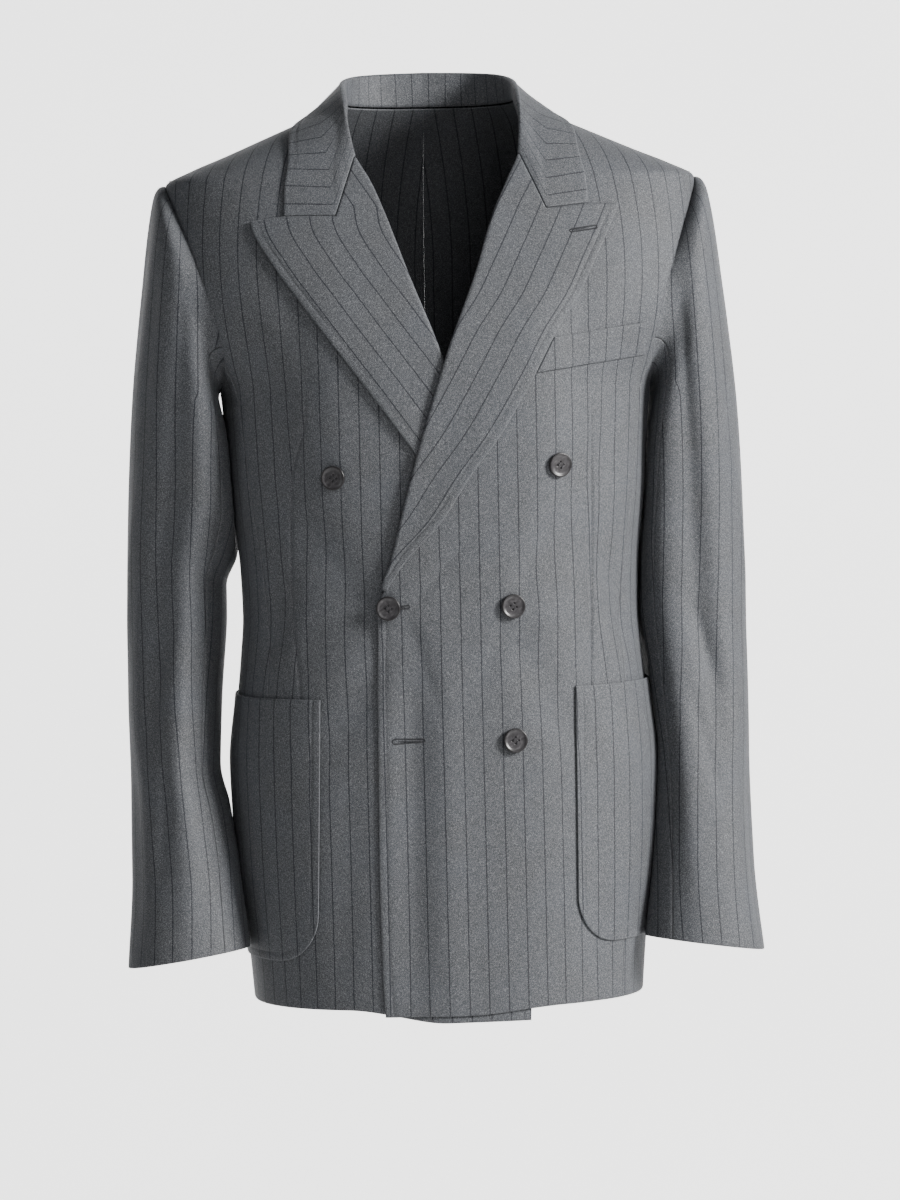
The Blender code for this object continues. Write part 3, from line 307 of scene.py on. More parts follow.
def trunk_point(angle, z):
    """Point of the cloth's face: the ring's radius plus the folds there."""
    angle, z = np.broadcast_arrays(np.asarray(angle, float), np.asarray(z, float))
    radius = trunk_radius(angle, z) + folds(np.degrees(angle), z, CREASES)
    return np.stack([radius * np.sin(angle), -radius * np.cos(angle), z], -1)


def trunk_normal(angle, z):
    """Cross product of a short step round the ring and a short step up it."""
    step_angle, step_z = 2e-3, 6e-4
    z = np.minimum(z, -step_z)
    around = trunk_point(angle + step_angle, z) - trunk_point(angle - step_angle, z)
    upward_step = trunk_point(angle, z + step_z) - trunk_point(angle, z - step_z)
    return unit(np.cross(around, upward_step))


def angle_at(x, z):
    """Angle on the front half whose point lies at x: found by halving the interval."""
    x, z = np.broadcast_arrays(np.asarray(x, float), np.asarray(z, float))
    low, high = np.full(x.shape, -math.pi / 2), np.full(x.shape, math.pi / 2)
    for _ in range(26):
        middle = (low + high) / 2
        beyond = trunk_point(middle, z)[..., 0] > x
        high = np.where(beyond, middle, high)
        low = np.where(beyond, low, middle)
    return (low + high) / 2


# %% Over front, armhole and seams
def sign_of(side):
    """+1 for the wearer's left, which is +X."""
    return 1.0 if side == "left" else -1.0


def lift_of(side, x, z):
    """How far a front's face stands out: only the over front does, over what it covers."""
    sideways = smooth(x, OVER_OUTER_X, OVER_INNER_X)
    below_break = smooth(z, BREAK - 0.007, BREAK - 0.055)
    chest = OVER_CHEST * smooth(z, OVER_TOP_Z, OVER_CHEST_Z)
    over = sideways * (chest + (OVER_WAIST - chest) * below_break)
    return over if side == "left" else over * 0.0


def on_front(side, x, z, height):
    """Point above a front's face at a place given as seen from the front."""
    angle = angle_at(x, z)
    lift = lift_of(side, x, z) + height
    return trunk_point(angle, z) + trunk_normal(angle, z) * lift[..., None]


def roll_x(side, z):
    """x of the front edge and, above the break, of the roll line."""
    return pchip(z, FRONT_EDGE[:, 0], FRONT_EDGE[:, EDGE_COLUMN[side]])


def panel_edge_x(side, z):
    """x of the front panel's own edge: behind the roll, and bare below the break."""
    behind_roll = smooth(z, BREAK - 0.006, BREAK + 0.006) * smooth(z, -0.002, -0.030)
    return roll_x(side, z) + sign_of(side) * behind_roll * (ROLL + LIP)


def armhole(turn_deg):
    """Egg on the trunk's side: height by cosine, reach by sine, fuller below than above."""
    turn_rad = np.radians(turn_deg)
    z = (ARM_TOP + ARM_LOW) / 2 + (ARM_TOP - ARM_LOW) / 2 * np.cos(turn_rad)
    in_front = np.sin(turn_rad) >= 0
    reach = np.where(in_front, ARM_FRONT, ARM_BACK)
    skew = np.where(in_front, ARM_FRONT_SKEW, ARM_BACK_SKEW)
    y = -reach * np.sin(turn_rad) * (1 - skew * np.cos(turn_rad))
    width, front, back = trunk_sizes(z)
    depth = np.where(in_front, front, back)
    x = width * (1 - np.abs(y / depth) ** SQUARENESS) ** (1 / SQUARENESS)
    return np.arctan2(x, -y), z


def ring_place(points):
    """Angle and height on the trunk that face each point."""
    return np.arctan2(points[..., 0], -points[..., 1]), np.minimum(points[..., 2], 0.0)


def clear_of_trunk(side, points, height):
    """Points moved out along the trunk's normal until they stand at least height above it."""
    for _ in range(4):
        angle, z = ring_place(points)
        normal = trunk_normal(angle, z)
        above = ((points - trunk_point(angle, z)) * normal).sum(-1) - lift_of(side, points[..., 0], z)
        points = points + normal * np.maximum(height - above, 0.0)[..., None]
    return points


def side_seam(z, which):
    """Angle of the front or back side seam, running up into the armhole."""
    seam_turn = ARM_STEP * SIDE_STEPS * (1 if which == "front" else -1)
    top_angle, top_z = armhole(np.array(seam_turn))
    knots = np.append(SIDE_SEAMS[:, 0], top_z)
    degrees = np.append(SIDE_SEAMS[:, 1 if which == "front" else 2], math.degrees(top_angle))
    return np.radians(pchip(z, knots, degrees))


def with_hem(side, angle, z):
    """Lowest rows drawn down to the hem, which drops towards the front edges."""
    drop = HEM_DROP[side] * smooth(np.degrees(angle), *HEM_DROP_DEG)
    return z - drop * smooth(z, HEM + HEM_DROP_RISE, HEM)


# %% [markdown]
# ## Where the stripes run
# A tailor lays every panel so that its stripes hang straight, so the pattern is drawn in the
# cloth's own metres and not in the object's. Each point carries three numbers: how far it
# lies across the stripes, how far along them, and how far from the nearest edge. On the
# trunk, "across" is the length of cloth round the ring. At the shoulder the front is eased
# towards the neck, and at the waist a dart takes cloth away, so the stripes lean there.

# %% Length of cloth round the trunk
ARC_Z = np.linspace(-0.792, 0.0, 240)
ARC_DEG = np.linspace(0, 180, 721)
ring = trunk_radius(np.radians(ARC_DEG)[None], ARC_Z[:, None])
ring_xy = np.stack([ring * np.sin(np.radians(ARC_DEG)), ring * np.cos(np.radians(ARC_DEG))], -1)
ARC = np.concatenate([np.zeros((len(ARC_Z), 1)),
                      np.cumsum(np.linalg.norm(np.diff(ring_xy, axis=1), axis=-1), axis=1)], 1)
SHOULDER_LEAN, LEAN_START = 0.026, -0.135
DART_TAKES, DART_TOP, DART_MIDDLE, DART_FOOT = 0.010, -0.245, -0.425, -0.520


def arc_length(angle, z):
    """Cloth from centre front to an angle: read from the table between its four neighbours."""
    row = np.clip((z - ARC_Z[0]) / (ARC_Z[1] - ARC_Z[0]), 0, len(ARC_Z) - 1.001)
    col = np.clip(np.degrees(np.abs(angle)) / ARC_DEG[1], 0, len(ARC_DEG) - 1.001)
    r, c = row.astype(int), col.astype(int)
    down, side_share = row - r, col - c
    upper = ARC[r, c] * (1 - side_share) + ARC[r, c + 1] * side_share
    lower = ARC[r + 1, c] * (1 - side_share) + ARC[r + 1, c + 1] * side_share
    return upper * (1 - down) + lower * down


def across_front(angle, z, dart_angle):
    """Cloth's distance across the stripes, with the shoulder's lean and the dart's intake."""
    lean = SHOULDER_LEAN * np.clip((z - LEAN_START) / -LEAN_START, 0, 1) ** 1.8
    takes = DART_TAKES * smooth(z, DART_TOP, DART_MIDDLE) * smooth(z, DART_FOOT, DART_MIDDLE)
    beyond = np.abs(angle) > dart_angle
    return np.sign(angle) * (arc_length(angle, z) + lean + takes * beyond)


def across_back(angle, z):
    """The same for the back, counted from the centre-back seam."""
    lean = SHOULDER_LEAN * np.clip((z - LEAN_START) / -LEAN_START, 0, 1) ** 1.8
    from_back = arc_length(np.full(np.shape(angle), math.pi), z) - arc_length(angle, z)
    return np.sign(angle) * (from_back + 0.6 * lean)


print("cloth round the hem:", round(2 * ARC[0, -1], 3), "m")

# %% [markdown]
# ## Making a wall of cloth
# A panel could be one sheet with a Solidify modifier, but its two faces are known here, and
# so is the way its edge turns in. The wall is two grids joined by a rim. Near an edge the
# columns crowd together, so that the rounded edge and the groove of the edge stitching are
# real shapes and not paint.

# %% Cloth wall
NEAR_EDGE = np.array([0.0, 0.0006, 0.0016, 0.0032, 0.0052, 0.0061, 0.0068, 0.0075, 0.0086])
STITCH_INSET = 0.0068
EDGE_ROUND, EDGE_REACH = 0.00042, 0.0006
GROOVE_DEPTH, GROOVE_WIDTH = 0.00038, 0.0009


def spaced(stops, counts, near):
    """Columns between stops, row by row: crowded at each stop, even in between."""
    parts = []
    for start, end, count in zip(stops[:-1], stops[1:], counts):
        start, end = start[:, None], end[:, None]
        size = np.abs(end - start)
        close = near * np.minimum(1.0, size / (4 * near[-1]))
        way = np.sign(end - start)
        even = np.linspace(0, 1, count + 2)[None, 1:-1]
        inner, outer = start + way * close[:, -1:], end - way * close[:, -1:]
        parts += [start + way * close, inner + (outer - inner) * even, (end - way * close)[:, :0:-1]]
    parts.append(stops[-1][:, None])
    return np.concatenate(parts, 1)


def edge_distance(grid, sides):
    """Cloth between each point and the nearest of the named edges, along the grid's lines."""
    def run(values):
        step = np.linalg.norm(np.diff(values, axis=0), axis=-1)
        return np.concatenate([np.zeros((1, step.shape[1])), np.cumsum(step, axis=0)])

    down, over = run(grid), run(grid.transpose(1, 0, 2)).T
    found = {"first_row": down, "last_row": down[-1:] - down,
             "first_column": over, "last_column": over[:, -1:] - over}
    nearest = np.full(grid.shape[:2], 1.0)
    for name in sides:
        nearest = np.minimum(nearest, found[name])
    return nearest


def crowded(width, count):
    """Shares of a width, from 0 to 1: crowded at both edges and even in between."""
    near = NEAR_EDGE / width
    return np.concatenate([near, np.linspace(near[-1], 1 - near[-1], count)[1:-1], 1 - near[::-1]])


GRIDS = {}      # each piece's face and normals, for the stitching that follows its edges
ALL_EDGES = ("first_row", "last_row", "first_column", "last_column")


def cloth_wall(name, face, hidden, across, along, stitched=None):
    """Two grids of points joined by a rim; the edge is thinned, and a groove runs inside it."""
    normal = unit(face - hidden)
    rim = edge_distance(face, ALL_EDGES)[..., None]
    thin = EDGE_ROUND * np.exp(-(rim / EDGE_REACH) ** 2)
    groove = 0.0
    if stitched is not None:
        groove = GROOVE_DEPTH * np.exp(-((stitched[..., None] - STITCH_INSET) / GROOVE_WIDTH) ** 2)
    face, hidden = face - normal * (thin + groove), hidden + normal * thin * 0.3
    rows, columns = face.shape[:2]
    index = np.arange(rows * columns).reshape(rows, columns)
    back = index + rows * columns
    strips = [
        (index[:-1, :-1], index[:-1, 1:], index[1:, 1:], index[1:, :-1]),
        (back[:-1, :-1], back[1:, :-1], back[1:, 1:], back[:-1, 1:]),
        (index[0, 1:], index[0, :-1], back[0, :-1], back[0, 1:]),
        (index[-1, :-1], index[-1, 1:], back[-1, 1:], back[-1, :-1]),
        (index[:-1, 0], index[1:, 0], back[1:, 0], back[:-1, 0]),
        (index[1:, -1], index[:-1, -1], back[:-1, -1], back[1:, -1]),
    ]
    quads = np.concatenate([np.stack([part.ravel() for part in strip], 1) for strip in strips])
    turned = np.cross(face[:-1, 1:] - face[:-1, :-1], face[1:, :-1] - face[:-1, :-1])
    if (turned * normal[:-1, :-1]).sum() < 0:
        quads = quads[:, ::-1]
    points = np.concatenate([face.reshape(-1, 3), hidden.reshape(-1, 3)])
    GRIDS[name] = (face, normal)
    marks = np.stack(np.broadcast_arrays(across, along, rim[..., 0]), -1).reshape(-1, 3)
    return make_mesh(name, points, quads, np.concatenate([marks, marks]))


def make_mesh(name, points, quads, marks=None):
    """Mesh from whole arrays; marks become the cloth attribute that the finish reads."""
    mesh = bpy.data.meshes.new(name)
    mesh.vertices.add(len(points))
    mesh.vertices.foreach_set("co", np.ascontiguousarray(points, np.float32).ravel())
    mesh.loops.add(quads.size)
    mesh.loops.foreach_set("vertex_index", np.ascontiguousarray(quads, np.int32).ravel())
    mesh.polygons.add(len(quads))
    mesh.polygons.foreach_set("loop_start", np.arange(0, quads.size, quads.shape[1], dtype=np.int32))
    mesh.update(calc_edges=True)
    mesh.validate()
    if marks is not None:
        layer = mesh.attributes.new("cloth", "FLOAT_VECTOR", "POINT")
        layer.data.foreach_set("vector", np.ascontiguousarray(marks, np.float32).ravel())
    mesh.shade_smooth()
    piece = bpy.data.objects.new(name, mesh)
    bpy.context.scene.collection.objects.link(piece)
    return piece


def ring_quads(index):
    """Quads round a closed tube, from the vertex numbers of its rings."""
    after = np.roll(index, -1, axis=1)
    return np.stack([part.ravel() for part in (index[:-1], index[1:], after[1:], after[:-1])], 1)


# %% [markdown]
# ## The suiting
# The cloth is a brushed wool in mid grey. Seen close, it is a mix of pale, grey and dark
# fibres with a trace of blue, crossed by thin near-black stripes. An image could hold that,
# but a recipe of nodes stays sharp at any distance. Noise in the cloth's own millimetres
# makes the fibres, a folded ramp of the "across" number makes the stripes, and fine
# diagonal waves make the twill that catches the light.

# %% Node helpers
def new_finish(name):
    """A material, its shader, and add(kind, inputs, **settings) for one more node."""
    finish = bpy.data.materials.new(name)
    finish.use_nodes = True
    tree = finish.node_tree

    def add(kind, inputs=None, **settings):
        node = tree.nodes.new("ShaderNode" + kind)
        for key, value in settings.items():
            setattr(node, key, value)
        for key, value in (inputs or {}).items():
            if isinstance(value, bpy.types.NodeSocket):
                tree.links.new(value, node.inputs[key])
            else:
                node.inputs[key].default_value = value
        return node

    return finish, tree.nodes["Principled BSDF"], add


def coat(shader, colour, **constants):
    """Links the colour and sets the shader's constants; an underscore stands for a space."""
    shader.id_data.links.new(colour, shader.inputs["Base Color"])
    for key, value in constants.items():
        shader.inputs[key.replace("_", " ")].default_value = value


def calc(add, operation, first, second=0.0):
    return add("Math", {0: first, 1: second}, operation=operation).outputs[0]


def scaled(add, vector, *factors):
    return add("VectorMath", {0: vector, 1: factors}, operation="MULTIPLY").outputs[0]


def noise(add, vector, scale, detail=2.0, **more):
    return add("TexNoise", {"Vector": vector, "Scale": scale, "Detail": detail, **more}).outputs["Fac"]


def ranged(add, value, low, high, at_low=0.0, at_high=1.0):
    """The value's way from low to high, given as at_low to at_high."""
    return add("MapRange", {"Value": value, "From Min": low, "From Max": high,
                            "To Min": at_low, "To Max": at_high}).outputs[0]


def mix(add, share, first, second, blend="MIX"):
    """Mix of two colours, which are the node's sockets 6 and 7."""
    if not isinstance(second, bpy.types.NodeSocket):
        second = (*second, 1.0)
    return add("Mix", {0: share, 6: first, 7: second}, data_type="RGBA", blend_type=blend).outputs[2]


def ramp(add, factor, stops):
    """Colour ramp from a short list of (place, colour)."""
    node = add("ValToRGB", {"Fac": factor})
    while len(node.color_ramp.elements) < len(stops):
        node.color_ramp.elements.new(0.5)
    for element, (place, colour) in zip(node.color_ramp.elements, stops):
        element.position = place
        element.color = (*colour, 1.0)
    return node.outputs["Color"]


# %% Suiting finish
STRIPE_PITCH, STRIPE_HALF, STRIPE_SOFT = 0.0165, 0.00048, 0.00025
STRIPE_COLOUR, STRIPE_STRENGTH, STRIPE_WANDER = (0.006, 0.007, 0.012), 0.88, 0.0011
FIBRE_DARK, FIBRE_MID, FIBRE_PALE = (0.016, 0.017, 0.019), (0.064, 0.066, 0.070), (0.225, 0.230, 0.238)
SPECK_SHARE = 0.62                      # the rest of the melange is long fibres
BLUE, BLUE_SHARE = (0.050, 0.062, 0.086), 0.30
CLOUD_DARK, CLOUD_SHARE = (0.62,) * 3, 0.22
# Paler grey within about a millimetre of every edge: partly a painted edge highlight, partly wear of the
# edges.
LIT_AND_WORN_EDGE, LIT_AND_WORN_EDGE_SHARE, LIT_AND_WORN_EDGE_REACH = (0.120, 0.124, 0.132), 0.22, 0.0011
TWILL_RELIEF, FIBRE_RELIEF = 0.35, 1.3


def suiting(name, pitch=STRIPE_PITCH, phase=0.0):
    """Grey melange with dark stripes: distance to the nearest stripe is |fract - 1/2| x pitch."""
    finish, shader, add = new_finish(name)
    cloth = add("Attribute", attribute_name="cloth", attribute_type="GEOMETRY")
    place = add("SeparateXYZ", {0: cloth.outputs["Vector"]})
    across, edge = place.outputs["X"], place.outputs["Z"]
    body = add("TexCoord").outputs["Object"]
    millimetres = scaled(add, body, 1000.0, 1000.0, 1000.0)
    speck = noise(add, millimetres, 1.15, 3.0, Roughness=0.75)
    fibre = noise(add, scaled(add, body, 2300.0, 2300.0, 800.0), 1.0, Roughness=0.6)
    cloud = noise(add, body, 26.0, 3.0)
    mixed = calc(add, "ADD", calc(add, "MULTIPLY", speck, SPECK_SHARE),
                 calc(add, "MULTIPLY", fibre, 1 - SPECK_SHARE))
    grey = ramp(add, mixed, [(0.36, FIBRE_DARK), (0.50, FIBRE_MID), (0.66, FIBRE_PALE)])
    blue = mix(add, calc(add, "MULTIPLY", cloud, BLUE_SHARE), grey, BLUE)
    clouds = ramp(add, cloud, [(0.3, CLOUD_DARK), (0.7, (1.0,) * 3)])
    shade = mix(add, CLOUD_SHARE, blue, clouds, "MULTIPLY")
    turns = calc(add, "DIVIDE", calc(add, "SUBTRACT", across, phase), pitch)
    part = calc(add, "FRACT", calc(add, "ADD", turns, 0.5))
    off = calc(add, "ABSOLUTE", calc(add, "SUBTRACT", part, 0.5))
    wander = calc(add, "MULTIPLY", calc(add, "SUBTRACT", fibre, 0.5), STRIPE_WANDER)
    apart = calc(add, "ADD", calc(add, "MULTIPLY", off, pitch), wander)
    stripe = ranged(add, apart, STRIPE_HALF + STRIPE_SOFT, STRIPE_HALF - STRIPE_SOFT)
    coloured = mix(add, calc(add, "MULTIPLY", stripe, STRIPE_STRENGTH), shade, STRIPE_COLOUR)
    # Painted edge highlight, partly wear: the cloth turns paler towards each edge.
    final = mix(add, ranged(add, edge, 0.0, LIT_AND_WORN_EDGE_REACH, LIT_AND_WORN_EDGE_SHARE, 0.0), coloured, LIT_AND_WORN_EDGE)
    twill = add("TexWave", {"Vector": millimetres, "Scale": 0.36, "Distortion": 1.2, "Detail": 2.0,
                            "Detail Scale": 1.4}, wave_type="BANDS", bands_direction="DIAGONAL")
    height = calc(add, "ADD", calc(add, "MULTIPLY", twill.outputs["Fac"], TWILL_RELIEF),
                  calc(add, "MULTIPLY", mixed, FIBRE_RELIEF))
    bump = add("Bump", {"Height": height, "Strength": 0.42, "Distance": 0.00035})
    finish.node_tree.links.new(bump.outputs[0], shader.inputs["Normal"])
    coat(shader, final, Roughness=0.66, Specular_IOR_Level=0.30, Sheen_Weight=0.07,
         Sheen_Roughness=0.42, Sheen_Tint=(0.72, 0.75, 0.80, 1.0))
    return finish


# %% [markdown]
# ## Dressing a piece
# Every finished panel takes the place of its solid and rides on the garment's one body.


def dress(piece, node, finish):
    """Gives the piece its finish and body, and hides its solid."""
    piece.data.materials.append(finish)
    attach(piece, "root")
    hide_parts(node)
    mesh = piece.data
    whole = np.empty(len(mesh.polygons))
    mesh.polygons.foreach_get("area", whole)


def trunk_wall(name, side, angle, z, lift, across, seams, stitched=None):
    """Wall on the trunk, one cloth thick; at the first and last seams the hidden side meets."""
    signed = angle * sign_of(side)
    point, normal = trunk_point(signed, z), trunk_normal(signed, z)
    lift = np.broadcast_to(lift, z.shape)[..., None]
    hidden_angle = angle.copy()
    hidden_angle[:, 0] -= HALF_SEAM_ANGLE * seams[0]
    hidden_angle[:, -1] += HALF_SEAM_ANGLE * seams[1]
    back = trunk_point(hidden_angle * sign_of(side), z)
    return cloth_wall(name, point + normal * lift, back + normal * (lift - CLOTH),
                      across(signed, z), z, stitched)


# %% [markdown]
# ## Fronts, sides and backs
# The rows of a front run level from the hem to the neck. Its inner column is the front edge,
# then the roll line of the lapel. Its outer column is the side seam, then the armhole, then
# the shoulder seam. A column down the middle follows the dart, so the dart is a real crease.

# %% Rows shared by the trunk's panels
FINE_Z = 0.0036
DART_X = {
    # z, x of each front's dart
    "left": np.array([(-0.762, 0.1190), (-0.501, 0.1201), (-0.426, 0.1223), (-0.342, 0.1237),
                      (-0.250, 0.1254), (-0.150, 0.1270)]),
    "right": np.array([(-0.762, 0.1210), (-0.4946, 0.1241), (-0.4196, 0.1289), (-0.319, 0.1269),
                       (-0.2695, 0.1152), (-0.150, 0.1120)]),
}
DART_DEPTH, DART_WIDTH = 0.0011, 0.0011
RIDGE_Z = np.concatenate([np.linspace(ARM_TOP + 0.002, -0.006, 26),     # rows of the shoulder seam
                          [-0.004, -0.002, -0.0011, -0.0005]])


def panel_rows(arm_turns):
    """Heights from the hem: crowded at it, even to the armhole, then round it to the top."""
    arm_angle, arm_z = armhole(arm_turns)
    body_z = np.arange(HEM + 0.0105, arm_z[0] - 0.5 * FINE_Z, FINE_Z)
    low = np.concatenate([HEM + NEAR_EDGE, body_z])
    return low, np.concatenate([low, arm_z, RIDGE_Z]), arm_angle


def make_front(side):
    """Front panel; the dart's column holds its share of the width above the dart's top."""
    turns = np.linspace(ARM_STEP * SIDE_STEPS, 0, 56)
    low, rows, arm_angle = panel_rows(turns)
    seam = side_seam(low, "front") - HALF_SEAM_ANGLE
    outer = np.concatenate([seam, arm_angle, np.full(len(RIDGE_Z), math.pi / 2)])
    outer[-len(RIDGE_Z) - 1:] = math.pi / 2 - HALF_SEAM_ANGLE
    inner = sign_of(side) * angle_at(panel_edge_x(side, rows), rows)
    dart_x = pchip(rows, DART_X[side][:, 0], DART_X[side][:, 1])
    held_row = np.minimum(rows, DART_TOP)
    held_inner, held_outer = (np.interp(held_row, rows, line) for line in (inner, outer))
    held_dart = np.abs(angle_at(sign_of(side) * dart_x, held_row))
    share_at = (held_dart - held_inner) / (held_outer - held_inner)
    dart = inner + (outer - inner) * share_at
    angle = spaced([inner, dart, outer], [46, 16], NEAR_EDGE / 0.14)
    z = with_hem(side, angle, np.repeat(rows[:, None], angle.shape[1], 1))
    signed = angle * sign_of(side)
    x = trunk_point(signed, z)[..., 0]
    from_dart = arc_length(angle, z) - arc_length(np.broadcast_to(dart[:, None], z.shape), z)
    works = smooth(z, DART_TOP, DART_TOP - 0.03) * smooth(z, -0.512, -0.50)
    dent = DART_DEPTH * np.exp(-(from_dart / DART_WIDTH) ** 2) * works
    lift = lift_of(side, x, z) - dent
    own_edge = edge_distance(trunk_point(signed, z), ["first_column"])
    stitched = np.where(z < BREAK - 0.004, own_edge, 1.0)
    dart_angle = dart[:, None] + 0.0 * z
    return trunk_wall(f"cloth_front_{side}", side, angle, z, lift,
                      lambda a, h: across_front(a, h, dart_angle), (0, 1), stitched)


FRONT_PHASE = {"left": 0.0098, "right": -0.0709}
suits = {}
for side in ("left", "right"):
    suits[side] = suiting(f"suiting_front_{side}", phase=FRONT_PHASE[side])
    dress(make_front(side), f"front_{side}", suits[side])

# %% Sides and backs
def make_side(side):
    """Side panel between its two seams, its top row on the armhole's lower edge."""
    rows = np.concatenate([HEM + NEAR_EDGE, np.arange(HEM + 0.0105, -0.2700, FINE_Z)])
    front = side_seam(rows, "front") + HALF_SEAM_ANGLE
    back = side_seam(rows, "back") - HALF_SEAM_ANGLE
    angle = spaced([front, back], [34], NEAR_EDGE / 0.16)
    z = np.repeat(rows[:, None], angle.shape[1], 1)
    share = (angle[-1] - angle[-1, 0]) / (angle[-1, -1] - angle[-1, 0])
    arm_turn = ARM_STEP * SIDE_STEPS + (360 - 2 * ARM_STEP * SIDE_STEPS) * share
    top_angle, top_row = armhole(arm_turn)
    climb = np.array([0.18, 0.36, 0.54, 0.72, 0.86, 0.94, 0.985, 1.0])[:, None]
    top = z[-1] + (top_row - z[-1]) * climb
    first = side_seam(top, "front") + HALF_SEAM_ANGLE
    last = side_seam(top, "back") - HALF_SEAM_ANGLE
    even = first + (last - first) * share
    bent = even + (top_angle - even) * climb ** 3
    bent[:, 0], bent[:, -1] = first[:, 0], last[:, -1]
    angle, z = np.concatenate([angle, bent]), np.concatenate([z, top])
    return trunk_wall(f"cloth_side_{side}", side, angle, z, 0.0,
                      lambda a, h: across_front(a, h, 0.0), (1, 1))


def make_back(side):
    """Back panel from the side seam, armhole and shoulder to the centre-back seam."""
    turns = -np.linspace(ARM_STEP * SIDE_STEPS, 0, 56)
    low, rows, arm_angle = panel_rows(turns)
    seam = side_seam(low, "back") + HALF_SEAM_ANGLE
    outer = np.concatenate([seam, arm_angle, np.full(len(RIDGE_Z), math.pi / 2)])
    outer[-len(RIDGE_Z) - 1:] = math.pi / 2 + HALF_SEAM_ANGLE
    centre = np.full(len(rows), math.pi - HALF_SEAM_ANGLE)
    angle = spaced([outer, centre], [56], NEAR_EDGE / 0.14)
    z = np.repeat(rows[:, None], angle.shape[1], 1)
    return trunk_wall(f"cloth_back_{side}", side, angle, z, 0.0, across_back, (1, 1))


back_suit = suiting("suiting_back", phase=0.00825)
for side in ("left", "right"):
    dress(make_side(side), f"side_{side}", suits[side])
    dress(make_back(side), f"back_{side}", back_suit)

# %% [markdown]
# ## Sleeves
# A sleeve is a stack of rings. The first is the armhole itself, seen as a ring that leans
# on the trunk, and the last is the cuff. In between, each ring is given by where its outer
# and inner lines lie seen from the front, and by its depth. The head rises above the
# shoulder before it falls, which makes the rope that a padded sleeve head has.

# %% Sleeve surface
SLEEVE = np.array([
    # outer_x, outer_z, inner_x, inner_z, half_depth, middle_y, share_of_ring
    (0.2265, -0.0680, 0.1840, -0.2450, 0.0740, 0.0030, 0.00),
    (0.2312, -0.0664, 0.1856, -0.2470, 0.0752, 0.0030, 0.22),
    (0.2360, -0.0690, 0.1872, -0.2500, 0.0764, 0.0030, 0.48),
    (0.2390, -0.0765, 0.1882, -0.2545, 0.0776, 0.0030, 0.72),
    (0.2432, -0.1080, 0.1882, -0.2630, 0.0790, 0.0030, 0.93),
    (0.2475, -0.1467, 0.1880, -0.2760, 0.0790, 0.0035, 1.00),
    (0.2530, -0.1900, 0.1870, -0.2960, 0.0778, 0.0050, 1.00),
    (0.2580, -0.2350, 0.1852, -0.3200, 0.0758, 0.0080, 1.00),
    (0.2622, -0.2900, 0.1830, -0.3520, 0.0728, 0.0120, 1.00),
    (0.2648, -0.3500, 0.1808, -0.3900, 0.0694, 0.0165, 1.00),
    (0.2660, -0.4200, 0.1800, -0.4350, 0.0660, 0.0185, 1.00),
    (0.2655, -0.5000, 0.1845, -0.5050, 0.0622, 0.0090, 1.00),
    (0.2638, -0.5800, 0.1868, -0.5780, 0.0574, -0.0085, 1.00),
    (0.2640, -0.6500, 0.1872, -0.6450, 0.0522, -0.0270, 1.00),
    (0.2688, -0.7265, 0.1850, -0.7110, 0.0475, -0.0470, 1.00),
])
LAST = len(SLEEVE) - 1.0
SLEEVE_PULL = {
    # z, how far the inner line is drawn in from the frame's, to lie against the trunk
    "left": np.array([
        (-0.730, 0.0235), (-0.711, 0.0225), (-0.645, 0.0190), (-0.578, 0.0160), (-0.505, 0.0180),
        (-0.435, 0.0200), (-0.390, 0.0195), (-0.352, 0.0175), (-0.320, 0.0165), (-0.296, 0.0140),
        (-0.276, 0.0100), (-0.263, 0.0055), (-0.2545, 0.0030), (-0.245, 0.0),
    ]),
    "right": np.array([
        (-0.730, 0.0210), (-0.711, 0.0200), (-0.645, 0.0170), (-0.600, 0.0100), (-0.560, 0.0),
        (-0.410, 0.0), (-0.385, 0.0100), (-0.352, 0.0190), (-0.320, 0.0170), (-0.296, 0.0145),
        (-0.276, 0.0105), (-0.263, 0.0060), (-0.2545, 0.0030), (-0.245, 0.0),
    ]),
}
SLEEVE_CLEAR, POCKET_CLEAR = 0.0026, 0.0050
SLEEVE_SQUARENESS = 2.15
SLEEVE_RADIUS = 0.05
SWING = {"left": 0.0, "right": 0.0055}
SLEEVE_GAP, TUCK = 0.0005, 0.0060       # TUCK is the sleeve's own turning, inside the armhole
CUFF_SLANT = 0.0060
TOP_SLEEVE_DEG = (-9 * ARM_STEP, 8 * ARM_STEP)


